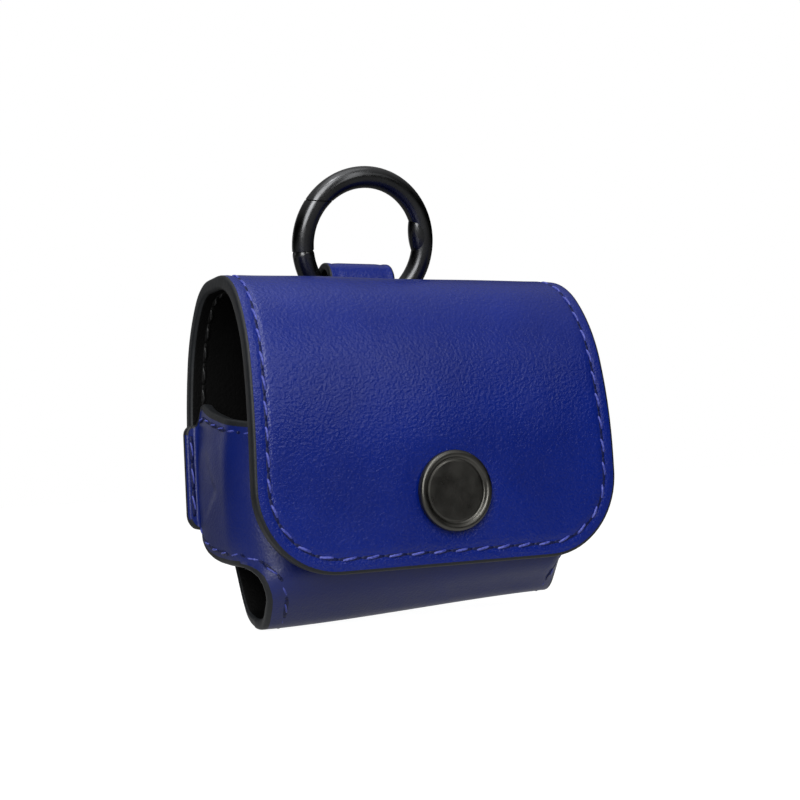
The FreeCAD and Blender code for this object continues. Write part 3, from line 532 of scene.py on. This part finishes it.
back_pieces = [("line", BACK_STRAIGHT, 0)] + bend_pieces(REAR_BENDS[::-1]) + [("line", HALF_FLAT, 0)]
RIDGE_S = Path((BACK_Y, BACK_LOW), 90, back_pieces).length
cover_path = Path((BACK_Y, BACK_LOW), 90, back_pieces + [("line", HALF_FLAT, 0)]
                  + bend_pieces(FRONT_BENDS) + [("line", FLAP_STRAIGHT, 0)])
COVER_LENGTH = cover_path.length
FLAP_R = 14.0
BACK_R = 5.0


def cover_half(s):
    """Half width of the cover at arc length s, without the rounded corners."""
    (y, z), a = cover_path.at(s)
    wide = FLAP_HALF if s > RIDGE_S else BACK_HALF
    t = min(1.0, max(0.0, (z - FLARE_Z + 6) / (RIDGE_Z - FLARE_Z + 6)))
    return wide + (RIDGE_HALF - wide) * (t ** 1.5)


def cover_width(s):
    half = cover_half(s)
    for end, r in ((s, BACK_R), (COVER_LENGTH - s, FLAP_R)):
        if end < r:
            half = half - r + math.sqrt(max(0.0, r * r - (r - end) ** 2))
    return half


def edge_distance(u, s):
    """Distance from a point of the cover to its outline."""
    half = cover_half(s)
    best = min(half - abs(u), s, COVER_LENGTH - s)
    for end, r in ((s, BACK_R), (COVER_LENGTH - s, FLAP_R)):
        du = abs(u) - (half - r)
        dv = r - end
        if du > 0 and dv > 0:
            best = r - math.hypot(du, dv)
    return best


def cover_point(u, s, depth=0.0):
    (y, z), a = cover_path.at(s)
    return np.array([u, y - math.sin(a) * depth, z + math.cos(a) * depth])


def cover_outward(s):
    a = cover_path.at(s)[1]
    return np.array([0.0, math.sin(a), -math.cos(a)])


def cover_relief(u, s):
    """How far the outer face stands out: pressed seams, soft waves and the dip at the snap."""
    d = edge_distance(u, s)
    rise = -0.22 * math.exp(-((d - SEAM) / 0.5) ** 2)
    rise -= 0.12 * (1 - smooth(d / (SEAM + 0.8)))
    rise += 0.10 * float(waves(u, s, 22.0, 3)) * smooth((d - 1) / 6)
    snap_s = COVER_LENGTH - (SNAP_Z - FLAP_LOW)
    r = math.hypot(u - SNAP_X, s - snap_s)
    rise -= 0.22 * math.exp(-((r - 6.4) / 1.6) ** 2)
    return rise


def sample_rows():
    rows = [BACK_R * (1 - math.cos(math.radians(a))) for a in range(0, 90, 9)]
    end = [COVER_LENGTH - FLAP_R * (1 - math.cos(math.radians(a))) for a in range(0, 90, 5)][::-1]
    count = int((end[0] - BACK_R) / 0.75)
    rows += list(np.linspace(BACK_R, end[0], count + 1))
    return rows + end[1:]


def sample_columns():
    """Places across the sheet from -1 to 1, denser at the seams."""
    near = [0, 0.9, 1.5, 1.95, 2.3, 2.6, 2.95, 3.4, 4.0, 4.8, 5.8]
    side = [1 - d / FLAP_HALF for d in near]
    inner = list(np.linspace(side[-1], 0, 34))[1:]
    half = side + inner
    return [-x for x in half] + half[::-1][1:]


def build_cover():
    rows = sample_rows()
    columns = sample_columns()
    outer, inner = [], []
    for s in rows:
        width = cover_width(s)
        n = cover_outward(s)
        for c in columns:
            u = width * c
            outer.append(cover_point(u, s) + n * cover_relief(u, s))
            inner.append(cover_point(u, s, COVER))
    wide = len(columns)
    faces = []
    for i in range(len(rows) - 1):
        for j in range(wide - 1):
            k = i * wide + j
            faces.append((k, k + 1, k + wide + 1, k + wide))
    check = surface_normals(outer, faces)
    if check[len(check) // 2][2] < 0:
        faces = [tuple(reversed(f)) for f in faces]
    return leather_shell("cover_leather", outer, faces, inner, [BLUE, EDGE, LINING], edge=0.55)


def cover_outline(inset):
    """Half outline at an inset from the edge: (u, s) pairs from the back's middle to the flap's."""
    pairs = []
    r = BACK_R - inset
    half = cover_half(0) - BACK_R
    pairs += [(x, inset) for x in np.linspace(0, half, 30)]
    for a in range(0, 91, 6):
        pairs.append((half + r * math.sin(math.radians(a)), BACK_R - r * math.cos(math.radians(a))))
    for s in np.linspace(BACK_R, COVER_LENGTH - FLAP_R, 120):
        pairs.append((cover_half(s) - inset, s))
    r = FLAP_R - inset
    half = cover_half(COVER_LENGTH) - FLAP_R
    for a in range(0, 91, 4):
        pairs.append((half + r * math.cos(math.radians(a)),
                      COVER_LENGTH - FLAP_R + r * math.sin(math.radians(a))))
    pairs += [(x, COVER_LENGTH - inset) for x in np.linspace(half, 0, 30)]
    return pairs


def cover_runs(outside):
    runs = []
    for side in (-1, 1):
        pairs = [(side * u, s) for u, s in cover_outline(SEAM)]
        pairs = even_points(pairs, PITCH)
        points, normals = [], []
        for u, s in pairs:
            n = cover_outward(s)
            if outside:
                points.append(cover_point(u, s) + n * cover_relief(u, s))
                normals.append(n)
            else:
                points.append(cover_point(u, s, COVER))
                normals.append(-n)
        if side < 0:
            points, normals = points[::-1], normals[::-1]
        runs.append((points, normals))
    return runs


cover = build_cover()
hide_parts("flap_leather", "flap_lining", "back_panel", "back_lining")
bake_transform(cover)

cover_thread = stitches("cover_thread", cover_runs(True), [THREAD, SEAM_SHADE])
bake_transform(cover_thread)
cover_back_thread = stitches("cover_thread_inside", cover_runs(False), [DARK_THREAD, DARK_SEAM_SHADE])
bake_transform(cover_back_thread)


# Pocket: front, wings, flanges and the fold under the case

WING_TURN = 12.0
CORNER_R = 8.5
BULGE_X = 33.4
WING_BOTTOM = 10.6
FLANGE_X = 34.9
FLANGE_BEND = 1.0
FLANGE_Y = BACK_Y - COVER - POCKET_WALL
WING_DEPTH = FLANGE_Y - POCKET_Y - CORNER_R
WING_R = (WING_DEPTH - FLANGE_BEND * (1 + sine(WING_TURN))) / sine(WING_TURN)
WING_X = BULGE_X - WING_R * (1 - cosine(WING_TURN))
plan_path = Path((0, POCKET_Y), 0, [
    ("line", BULGE_X - CORNER_R, 0), ("arc", CORNER_R, 90), ("arc", WING_R, WING_TURN),
    ("arc", FLANGE_BEND, -(90 + WING_TURN)),
    ("line", FLANGE_X - WING_X - FLANGE_BEND * cosine(WING_TURN), 0),
])
TAIL_SLANT, TAIL_RISE = 42.0, 28.0
TAIL_SHOULDER, TAIL_FOLD, TAIL_HEEL = 4.0, 4.5, 8.0
TAIL_LEAD = 0.7
FRONT_WALL = (WING_BOTTOM - TAIL_LEAD - TAIL_SHOULDER * sine(TAIL_SLANT)
              - TAIL_FOLD * (1 - sine(TAIL_SLANT))) / cosine(TAIL_SLANT)
FOLD_Y = (POCKET_Y + TAIL_SHOULDER * (1 - cosine(TAIL_SLANT)) + FRONT_WALL * sine(TAIL_SLANT)
          + TAIL_FOLD * cosine(TAIL_SLANT))
BACK_WALL = (BACK_Y - COVER - FOLD_Y - TAIL_FOLD * cosine(TAIL_RISE)
             - TAIL_HEEL * (1 - cosine(TAIL_RISE))) / sine(TAIL_RISE)
tail_path = Path((POCKET_Y, WING_BOTTOM), 270, [
    ("line", TAIL_LEAD, 0), ("arc", TAIL_SHOULDER, TAIL_SLANT), ("line", FRONT_WALL, 0),
    ("arc", TAIL_FOLD, 180 - TAIL_SLANT - TAIL_RISE), ("line", BACK_WALL, 0),
    ("arc", TAIL_HEEL, TAIL_RISE), ("line", 4.0, 0),
])
CORNER_START = BULGE_X - CORNER_R
CORNER_END = CORNER_START + CORNER_R * math.pi / 2
WING_END = CORNER_END + WING_R * math.radians(WING_TURN)
PLAN_END = plan_path.length
TAIL_HALF = 28.6
NOTCH = 7.5
FOLD_BOTTOM = TAIL_LEAD + TAIL_SHOULDER * math.radians(TAIL_SLANT) + FRONT_WALL + TAIL_FOLD


def pocket_point(u, t):
    """Outer face of the pocket: u runs round the wrap, t goes up from the fold's start."""
    (x, y), a = plan_path.at(abs(u))
    side = 1.0 if u >= 0 else -1.0
    if t >= 0:
        z = WING_BOTTOM + t
    else:
        (fy, fz), fa = tail_path.at(-t)
        puff = smooth(-t / 6.0) * (1 - smooth((-t - 30.0) / 8.0))
        puff *= 1 - math.exp(-((-t - FOLD_BOTTOM) / 4.0) ** 2)
        y += fy - POCKET_Y + 0.9 * puff * math.sin(fa)
        z = fz - 0.9 * puff * math.cos(fa)
    wing = smooth((abs(u) - CORNER_START) / (CORNER_END - CORNER_START))
    wing *= 1 - smooth((abs(u) - WING_END + 1.5) / 3.0)
    top = smooth((z - 27.0) / 12.0)
    low = smooth((WING_BOTTOM + 5.0 - z) / 8.0)
    x -= wing * (0.9 * top + 0.7 * low)
    belly = math.exp(-((z - 23.0) / 9.0) ** 2)
    x += wing * 0.5 * belly
    if abs(u) > CORNER_END:
        x += 0.9 * smooth((abs(u) - CORNER_END) / 14.0)
        x -= 1.1 * smooth((abs(u) - WING_END) / (PLAN_END - WING_END))
    share = abs(u) / TAIL_HALF
    if u > 0:
        x -= 1.3 * smooth((3.0 - t) / 6.0) * min(share, 1.2) ** 3
    if t < 0:
        down = smooth((9.5 - z) / 8.0)
        if u < 0 and -t < FOLD_BOTTOM:
            x += 0.8 * share ** 3 * math.exp(-((z - 5.0) / 3.8) ** 2) * smooth(-t / 3.0)
        z += down * 2.0 * smooth((side * share + 1.0) / 2.0)
    if u > 24.0:
        fade = 1 - (smooth(t / 16.0) if t > 0 else smooth((-t - 4.0) / 10.0))
        z += 5.5 * smooth((u - 24.0) / 7.0) * fade
    return np.array([side * x, y, z])


def pocket_normal(u, t):
    h = 0.02
    du = pocket_point(u + h, t) - pocket_point(u - h, t)
    dt = pocket_point(u, t + h) - pocket_point(u, t - h)
    n = np.cross(du, dt)
    return n / np.linalg.norm(n)


WING_EDGE_Y = [-12.0, -3.5, 1.0, 4.0, 7.0, 9.0, 10.4, 11.4, 12.1]
WING_EDGE_Z = [10.6, 10.65, 11.0, 11.5, 12.35, 13.3, 14.4, 15.6, 16.5]
HEM_Y = [-12.0, -1.9, 4.6, 7.7, 9.6, 11.0, 12.1]
HEM_Z = [33.4, 35.0, 36.4, 37.3, 37.9, 38.0, 37.7]
FLANGE_LOW_R = 2.4
FLANGE_TOP_R = 1.6
POCKET_SEAM = 2.0
FOLD_SEAM = 3.3


def rounding(u, radius):
    """How much a round corner of the flange takes off its end at u."""
    d = max(0.0, radius - (PLAN_END - abs(u)))
    return radius - math.sqrt(max(0.0, radius ** 2 - d ** 2))


def wing_low(u):
    """Height t of the wing's lower edge at u: level in front, rounded up towards the back."""
    (x, y), a = plan_path.at(abs(u))
    rise = float(np.interp(y, WING_EDGE_Y, WING_EDGE_Z)) - WING_BOTTOM
    return rise + rounding(u, FLANGE_LOW_R)


def hem(u):
    """Height t of the pocket's top edge at u."""
    (x, y), a = plan_path.at(abs(u))
    z = float(np.interp(y, HEM_Y, HEM_Z))
    z -= 3.3 * smooth((abs(u) - WING_END + 0.5) / 1.9)
    return z - rounding(u, FLANGE_TOP_R) - WING_BOTTOM


def tail_half(t):
    """Half width of the fold at t below its start, wider in the rounded notch."""
    half = TAIL_HALF
    down = -t
    if down < NOTCH:
        half += NOTCH - math.sqrt(max(0.0, NOTCH ** 2 - (NOTCH - down) ** 2))
    return half


def u_columns():
    """Places round the wrap, in millimetres, shared by the pocket's upper part and its fold."""
    join = TAIL_HALF + NOTCH
    inside = list(np.linspace(0, join - 4.5, 26)) + [join - 3.6, join - 2.8, join - 2.1, join - 1.6,
                                                     join - 1.15, join]
    out = list(np.linspace(join, PLAN_END - 4.6, 20))[1:] + [
        PLAN_END - d for d in (3.9, 3.2, 2.6, 2.0, 1.5, 1.0, 0.6, 0.3, 0.1, 0.0)]
    return inside, out


def build_pocket():
    inside, out = u_columns()
    half = inside + out
    us = [-u for u in half[::-1]] + half[1:]
    shares = [0.0, 0.037, 0.058, 0.082, 0.11] + list(np.linspace(0.15, 0.86, 24)) + [
        0.90, 0.92, 0.94, 0.963, 1.0]
    outer = []
    wide = len(us)
    for share in shares:
        for u in us:
            low = 0.0 if abs(u) <= inside[-1] + 1e-9 else wing_low(u)
            high = hem(u)
            t = low + (high - low) * share
            outer.append((u, t))
    faces = []
    for i in range(len(shares) - 1):
        for j in range(wide - 1):
            k = i * wide + j
            faces.append((k, k + 1, k + wide + 1, k + wide))
    first = len(out)
    count = 2 * len(inside) - 1
    previous = list(range(first, first + count))
    length = tail_path.length
    steps = [NOTCH * (1 - math.cos(math.radians(a))) for a in range(12, 91, 13)]
    downs = steps + list(np.linspace(NOTCH, length - 3.4, 62))[1:] + [
        length - 2.8, length - 2.2, length - 1.6, length - 1.0, length]
    join = inside[-1]
    for down in downs:
        w = tail_half(-down)
        now = []
        for j in range(count):
            u = us[first + j] / join * w
            now.append(len(outer))
            outer.append((u, -down))
        for j in range(count - 1):
            faces.append((now[j], now[j + 1], previous[j + 1], previous[j]))
        previous = now
    verts, inner = [], []
    for u, t in outer:
        p = pocket_point(u, t)
        n = pocket_normal(u, t)
        verts.append(p)
        inner.append(p - n * POCKET_WALL)
    check = surface_normals(verts, faces)
    middle = int(np.argmin([abs(u) + abs(t - 8) for u, t in outer]))
    if check[middle][1] > 0:
        faces = [tuple(reversed(f)) for f in faces]
    painted = [k for k in border_loop(faces) if abs(outer[k][0]) < WING_END - 0.5]
    bare = [k for k, (u, t) in enumerate(outer) if abs(u) > PLAN_END - 0.1]
    return leather_shell("pocket_shell", verts, faces, inner, [POCKET_BLUE_SHADED, EDGE, LINING], edge=0.5,
                         painted=painted, bare=bare)


def pocket_run(pairs):
    pairs = even_points(pairs, PITCH)
    points = [pocket_point(u, t) for u, t in pairs]
    normals = [pocket_normal(u, t) for u, t in pairs]
    return points, normals


def pocket_runs():
    runs = []
    hem_line = [(u, hem(u) - POCKET_SEAM) for u in np.linspace(-(PLAN_END - 3.6), PLAN_END - 3.6, 160)]
    runs.append(pocket_run(hem_line))
    for side in (-1, 1):
        flange = PLAN_END - 1.3
        line = [(side * flange, t) for t in np.linspace(hem(flange) - 1.8, wing_low(flange) + 2.0, 12)]
        runs.append(pocket_run(line))
        join = TAIL_HALF + NOTCH
        line = []
        for u in np.linspace(WING_END + 0.4, join + 0.4, 40):
            line.append((side * u, wing_low(u) + POCKET_SEAM))
        for a in range(10, 90, 10):
            r = NOTCH + POCKET_SEAM + (FOLD_SEAM - POCKET_SEAM) * a / 90.0
            line.append((side * (join - r * math.sin(math.radians(a))),
                         -NOTCH + r * math.cos(math.radians(a))))
        for down in np.linspace(NOTCH, tail_path.length - 2.0, 70):
            line.append((side * (tail_half(-down) - FOLD_SEAM), -down))
        runs.append(pocket_run(line))
    return runs


pocket = build_pocket()
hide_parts("pocket_leather", "pocket_lining")
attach(pocket, "pouch")
pocket_thread = stitches("pocket_thread", pocket_runs(), [THREAD, SEAM_SHADE], lift=0.18, radius=0.17)
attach(pocket_thread, "pouch")


# Leather loop: one strap folded round the wire, with both its ends sewn on the back

def strap_middle():
    """Middle of the strap in (y, z): up its outer ply, round the wire, down its inner ply."""
    nape_radius, nape_turn = REAR_BENDS[0]
    shoulder_radius = REAR_BENDS[1][0]
    rear_radius, rear_turn = REAR_BENDS[2]
    shoulder = np.array([HINGE_Y + HALF_FLAT + (nape_radius - shoulder_radius) * ARCH * sine(nape_turn),
                         RIDGE_Z - nape_radius * ARCH
                         + (nape_radius - shoulder_radius) * ARCH * cosine(nape_turn)])
    rear = np.array([BACK_Y - rear_radius * ARCH, BACK_LOW + BACK_STRAIGHT])

    def ray(degrees):
        return np.array([cosine(degrees), sine(degrees)])

    def ply(out, top):
        points = [np.array([BACK_Y + out, z]) for z in np.linspace(STRAP_LOW, rear[1], 4)]
        points += [rear + (rear_radius * ARCH + out) * ray(a) for a in np.linspace(1, rear_turn, 9)]
        points += [shoulder + (shoulder_radius * ARCH + out) * ray(a)
                   for a in np.linspace(rear_turn + 1, top, 9)]
        return points

    wire = np.array([WIRE_Y, WIRE_Z])
    high = wire + SLOT_RISE * ray(90 + RING_LEAN)
    size = WIRE_ROOM + STRAP / 2
    points = ply(1.5 * STRAP, ROOT_LIFT - 2.0)
    points += [wire + size * ray(a) for a in np.linspace(-18, RING_LEAN, 6)]
    points += [high + size * ray(RING_LEAN + a) for a in np.linspace(0, 180, 19)]
    points += [wire + size * ray(RING_LEAN + a) for a in np.linspace(180, 222, 6)]
    points += ply(0.5 * STRAP, ROOT_LIFT - 3.5)[::-1]
    path = even_points(points, 0.35)
    for _ in range(6):
        path[1:-1] = (path[:-2] + 2 * path[1:-1] + path[2:]) / 4
    return path


strap_line = strap_middle()
strap_along = np.gradient(strap_line, axis=0)
strap_along /= np.linalg.norm(strap_along, axis=1, keepdims=True)
strap_out = np.stack([strap_along[:, 1], -strap_along[:, 0]], axis=1)


def strap_point(k, x, out):
    """Point of the strap at its k-th station, a distance out from its middle."""
    y, z = strap_line[k] + strap_out[k] * out
    return np.array([x, y, z])


def build_strap():
    across = [-1.0, -0.95, -0.9, -0.84, -0.76] + list(np.linspace(-0.66, 0.66, 15)) + [
        0.76, 0.84, 0.9, 0.95, 1.0]
    outer, inner = [], []
    for k in range(len(strap_line)):
        for c in across:
            dent = 0.12 * math.exp(-((abs(c) * STRAP_HALF - (STRAP_HALF - 1.7)) / 0.5) ** 2)
            outer.append(strap_point(k, c * STRAP_HALF, STRAP / 2 - dent))
            inner.append(strap_point(k, c * STRAP_HALF, -STRAP / 2))
    wide = len(across)
    faces = []
    for i in range(len(strap_line) - 1):
        for j in range(wide - 1):
            k = i * wide + j
            faces.append((k, k + 1, k + wide + 1, k + wide))
    if surface_normals(outer, faces)[wide // 2][1] < 0:
        faces = [tuple(reversed(f)) for f in faces]
    return leather_shell("loop_strap", outer, faces, inner, [BLUE, EDGE, LINING], edge=0.4)


def strap_runs():
    """Stitches down both sides of the outer ply and across it at the root and the lower end."""
    low = int(np.argmin(np.abs(strap_line[:, 1] - (STRAP_LOW + 1.7)) + 99 * (strap_out[:, 0] < 0)))
    root = int(np.argmin(np.abs(strap_line[:, 1] - 49.6) + 99 * (strap_out[:, 0] < 0)))
    x = STRAP_HALF - 1.7
    stops = list(range(low, root + 1))
    runs = []
    for side in (-x, x):
        line = even_points([(side, k) for k in stops], PITCH / 0.35)
        runs.append(line)
    for k in (low, root):
        runs.append(even_points([(-x, k), (x, k)], PITCH))
    made = []
    for line in runs:
        spots = [int(round(k)) for _, k in line]
        points = [strap_point(k, u, STRAP / 2 - 0.1) for (u, _), k in zip(line, spots)]
        normals = [np.array([0.0, *strap_out[k]]) for k in spots]
        made.append((points, normals))
    return made


strap = build_strap()
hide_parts("loop_base", "loop_eye")
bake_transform(strap)
strap_thread = stitches("loop_thread", strap_runs(), [THREAD, SEAM_SHADE])
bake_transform(strap_thread)


# Snap cap: turned profile, with its post and flared end as in the CAD

CAP_PROFILE = [
    (0.0, -0.90), (1.6, -0.90), (3.4, -0.92), (4.75, -0.95), (4.95, -0.93), (5.10, -0.84), (5.25, -0.84),
    (5.38, -0.95), (5.52, -1.20), (5.68, -1.38), (5.88, -1.47), (6.08, -1.50), (6.28, -1.46),
    (6.46, -1.36), (6.60, -1.20), (6.68, -1.00), (6.70, -0.80), (6.70, -0.40), (6.62, -0.16),
    (6.37, 0.0), (1.5, 0.0), (1.5, 3.0), (2.3, 3.0), (2.15, 3.3), (0.0, 3.3),
]


def build_cap():
    sides = 120
    verts = [(SNAP_X, -FRONT_REACH + CAP_PROFILE[0][1], SNAP_Z)]
    for radius, depth in CAP_PROFILE[1:-1]:
        for k in range(sides):
            a = 2 * math.pi * k / sides
            verts.append((SNAP_X + radius * math.cos(a), -FRONT_REACH + depth,
                          SNAP_Z + radius * math.sin(a)))
    verts.append((SNAP_X, -FRONT_REACH + CAP_PROFILE[-1][1], SNAP_Z))
    faces = []
    rings = len(CAP_PROFILE) - 2
    for k in range(sides):
        q = (k + 1) % sides
        faces.append((0, 1 + k, 1 + q))
        for r in range(rings - 1):
            a = 1 + r * sides
            faces.append((a + k, a + sides + k, a + sides + q, a + q))
        a = 1 + (rings - 1) * sides
        faces.append((a + k, len(verts) - 1, a + q))
    thing = new_mesh("snap_cap_turned", verts, faces, [SNAP_METAL])
    return thing


cap = build_cap()
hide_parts("snap_cap")
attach(cap, "flap")


# The other metal pieces keep their CAD shape

for name in ("ring_body", "ring_gate", "gate_pin"):
    nodes[name].data.materials.clear()
    nodes[name].data.materials.append(RING_METAL)
for name in ("snap_socket", "snap_stud", "stud_rivet", "stud_washer"):
    nodes[name].data.materials.clear()
    nodes[name].data.materials.append(SNAP_METAL)
for name in ("gate_spring", "socket_spring"):
    nodes[name].data.materials.clear()
    nodes[name].data.materials.append(STEEL)


# Black disc in the gap at the ring's nose, where the gate's free end meets it: painted shade that darkens the
# gap

def build_gap_shade():
    height = RING_R * sine(NOSE_ANGLE)
    middle_z = RING_Z + height
    near_x, far_x = (RING_X - math.sqrt((RING_R + side) ** 2 - height ** 2) for side in (-2.0, 2.0))
    middle_x = (near_x + far_x) / 2
    sides = 48
    verts = []
    for level, size in ((-0.06, 0.93), (-0.03, 0.96), (0.12, 0.96)):
        for k in range(sides):
            a = 2 * math.pi * k / sides
            x = middle_x + size * (near_x - far_x) / 2 * math.cos(a)
            aside = size * 2.0 * math.sin(a)
            rise = middle_z + level - WIRE_Z
            verts.append((x, WIRE_Y + aside * cosine(RING_LEAN) - rise * sine(RING_LEAN),
                          WIRE_Z + aside * sine(RING_LEAN) + rise * cosine(RING_LEAN)))
    faces = [tuple(reversed(range(sides))), tuple(range(2 * sides, 3 * sides))]
    for level in range(2):
        for k in range(sides):
            q = (k + 1) % sides
            a = level * sides
            faces.append((a + k, a + q, a + sides + q, a + sides + k))
    return new_mesh("ring_gap_shade", verts, faces, [GAP_SHADE_BLACK], smooth_faces=False)


gap_shade_disc = build_gap_shade()
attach(gap_shade_disc, "ring")


# Floor, light and camera

def backdrop_material():
    mat, tree, shader = new_material("white_floor_and_reflection_glow")
    shader.inputs["Base Color"].default_value = (0.20, 0.20, 0.20, 1)
    shader.inputs["Roughness"].default_value = 0.9
    glow = tree.nodes.new("ShaderNodeEmission")
    glow.inputs["Color"].default_value = (1, 1, 1, 1)
    ray = tree.nodes.new("ShaderNodeLightPath")
    add = tree.nodes.new("ShaderNodeAddShader")
    seen = math_node(tree, "MULTIPLY", ray.outputs["Is Camera Ray"], 0.97)
    # Near the object the floor also glows, in reflections only, from about 28 to 65 mm out: a painted
    # reflection of a lit floor, seen as the sheen on the fold
    coords = tree.nodes.new("ShaderNodeTexCoord")
    narrow = node(tree, "ShaderNodeVectorMath", operation="MULTIPLY")
    narrow.inputs[1].default_value = (0.5, 1.0, 1.0)
    tree.links.new(coords.outputs["Object"], narrow.inputs[0])
    reach = node(tree, "ShaderNodeVectorMath", operation="LENGTH")
    tree.links.new(narrow.outputs["Vector"], reach.inputs[0])
    near = node(tree, "ShaderNodeMapRange", interpolation_type="SMOOTHSTEP")
    near.inputs["From Min"].default_value = 0.028
    near.inputs["From Max"].default_value = 0.065
    near.inputs["To Min"].default_value = 0.47
    near.inputs["To Max"].default_value = 0.0
    tree.links.new(reach.outputs["Value"], near.inputs["Value"])
    reflected_glow = math_node(tree, "MULTIPLY", ray.outputs["Is Glossy Ray"], near.outputs["Result"])
    seen = math_node(tree, "ADD", seen, reflected_glow)
    tree.links.new(seen, glow.inputs["Strength"])
    tree.links.new(shader.outputs["BSDF"], add.inputs[0])
    tree.links.new(glow.outputs["Emission"], add.inputs[1])
    tree.links.new(add.outputs["Shader"], tree.nodes["Material Output"].inputs["Surface"])
    return mat


FLOOR_REACH = 3000
FLOOR_Z = -0.4
floor_corners = [(x * FLOOR_REACH, y * FLOOR_REACH, FLOOR_Z) for x, y in ((-1, -1), (1, -1), (1, 1), (-1, 1))]
floor = new_mesh("floor", floor_corners, [(0, 1, 2, 3)], [backdrop_material()])

world = bpy.data.worlds.new("studio")
bpy.context.scene.world = world
world.use_nodes = True
tree = world.node_tree
back = tree.nodes["Background"]
back.inputs["Color"].default_value = (1, 1, 1, 1)


def spread(value, low, high, to_low, to_high):
    """Smooth step between two levels."""
    made = node(tree, "ShaderNodeMapRange", interpolation_type="SMOOTHSTEP")
    made.inputs["From Min"].default_value = low
    made.inputs["From Max"].default_value = high
    made.inputs["To Min"].default_value = to_low
    made.inputs["To Max"].default_value = to_high
    tree.links.new(value, made.inputs["Value"])
    return made.outputs["Result"]


sky = tree.nodes.new("ShaderNodeTexCoord")
split = tree.nodes.new("ShaderNodeSeparateXYZ")
tree.links.new(sky.outputs["Generated"], split.inputs["Vector"])
behind = spread(split.outputs["Y"], 0.75, 1.0, 0.0, 0.42)
above = spread(split.outputs["Z"], 0.25, 1.0, 0.0, 0.43)
level = math_node(tree, "ADD", behind, above)
ray = tree.nodes.new("ShaderNodeLightPath")
white = math_node(tree, "MAXIMUM", ray.outputs["Is Camera Ray"], ray.outputs["Is Transmission Ray"])
level = math_node(tree, "MAXIMUM", level, white)
tree.links.new(level, back.inputs["Strength"])


def softbox(name, place, target, size, watts):
    data = bpy.data.lights.new(name, "AREA")
    data.shape = "RECTANGLE"
    data.size, data.size_y = size
    data.energy = watts
    light = bpy.data.objects.new(name, data)
    bpy.context.scene.collection.objects.link(light)
    light.location = Vector(place)
    aim = Vector(target) - Vector(place)
    light.rotation_euler = aim.to_track_quat("-Z", "Y").to_euler()
    return light


softbox("front", (-0.337, -0.481, 0.155), (0, 0, 0.03), (0.30, 0.30), 1.55)
softbox("front_high", (-0.25, -0.40, 0.40), (0, 0, 0.03), (0.30, 0.30), 1.40)
softbox("over", (-0.05, -0.05, 0.50), (0, 0, 0.04), (0.35, 0.35), 0.38)
softbox("tall", (0.084, -0.363, 0.250), (-0.028, -0.017, 0.040), (0.08, 0.32), 0.21)
softbox("glint", (-0.14, -0.20, 0.50), (0, 0, 0.06), (0.10, 0.10), 0.30)
softbox("right", (0.230, -0.330, 0.230), (0.022, -0.017, 0.040), (0.12, 0.10), 0.02)

camera_data = bpy.data.cameras.new("camera")
camera_data.lens = 60.75
camera_data.sensor_width = 36.0
camera_data.clip_start = 0.01
camera = bpy.data.objects.new("camera", camera_data)
bpy.context.scene.collection.objects.link(camera)
bpy.context.scene.camera = camera


def aim_camera(place, theta, phi, roll):
    """Turn from azimuth, tilt and roll in degrees, and a position in millimetres."""
    th, ph, ro = (math.radians(a) for a in (theta, phi, roll))
    ahead = Vector((math.sin(th) * math.cos(ph), math.cos(th) * math.cos(ph), -math.sin(ph)))
    right = Vector((math.cos(th), -math.sin(th), 0))
    up = right.cross(ahead)
    r2 = right * math.cos(ro) + up * math.sin(ro)
    u2 = up * math.cos(ro) - right * math.sin(ro)
    turn = Matrix((r2, u2, -ahead)).transposed()
    camera.matrix_world = Matrix.Translation(Vector(place) * MM) @ turn.to_4x4()


aim_camera((-105.5, -212.4, 23.55), 26.60, -3.29, -2.98)
bpy.context.scene.view_settings.view_transform = "Standard"
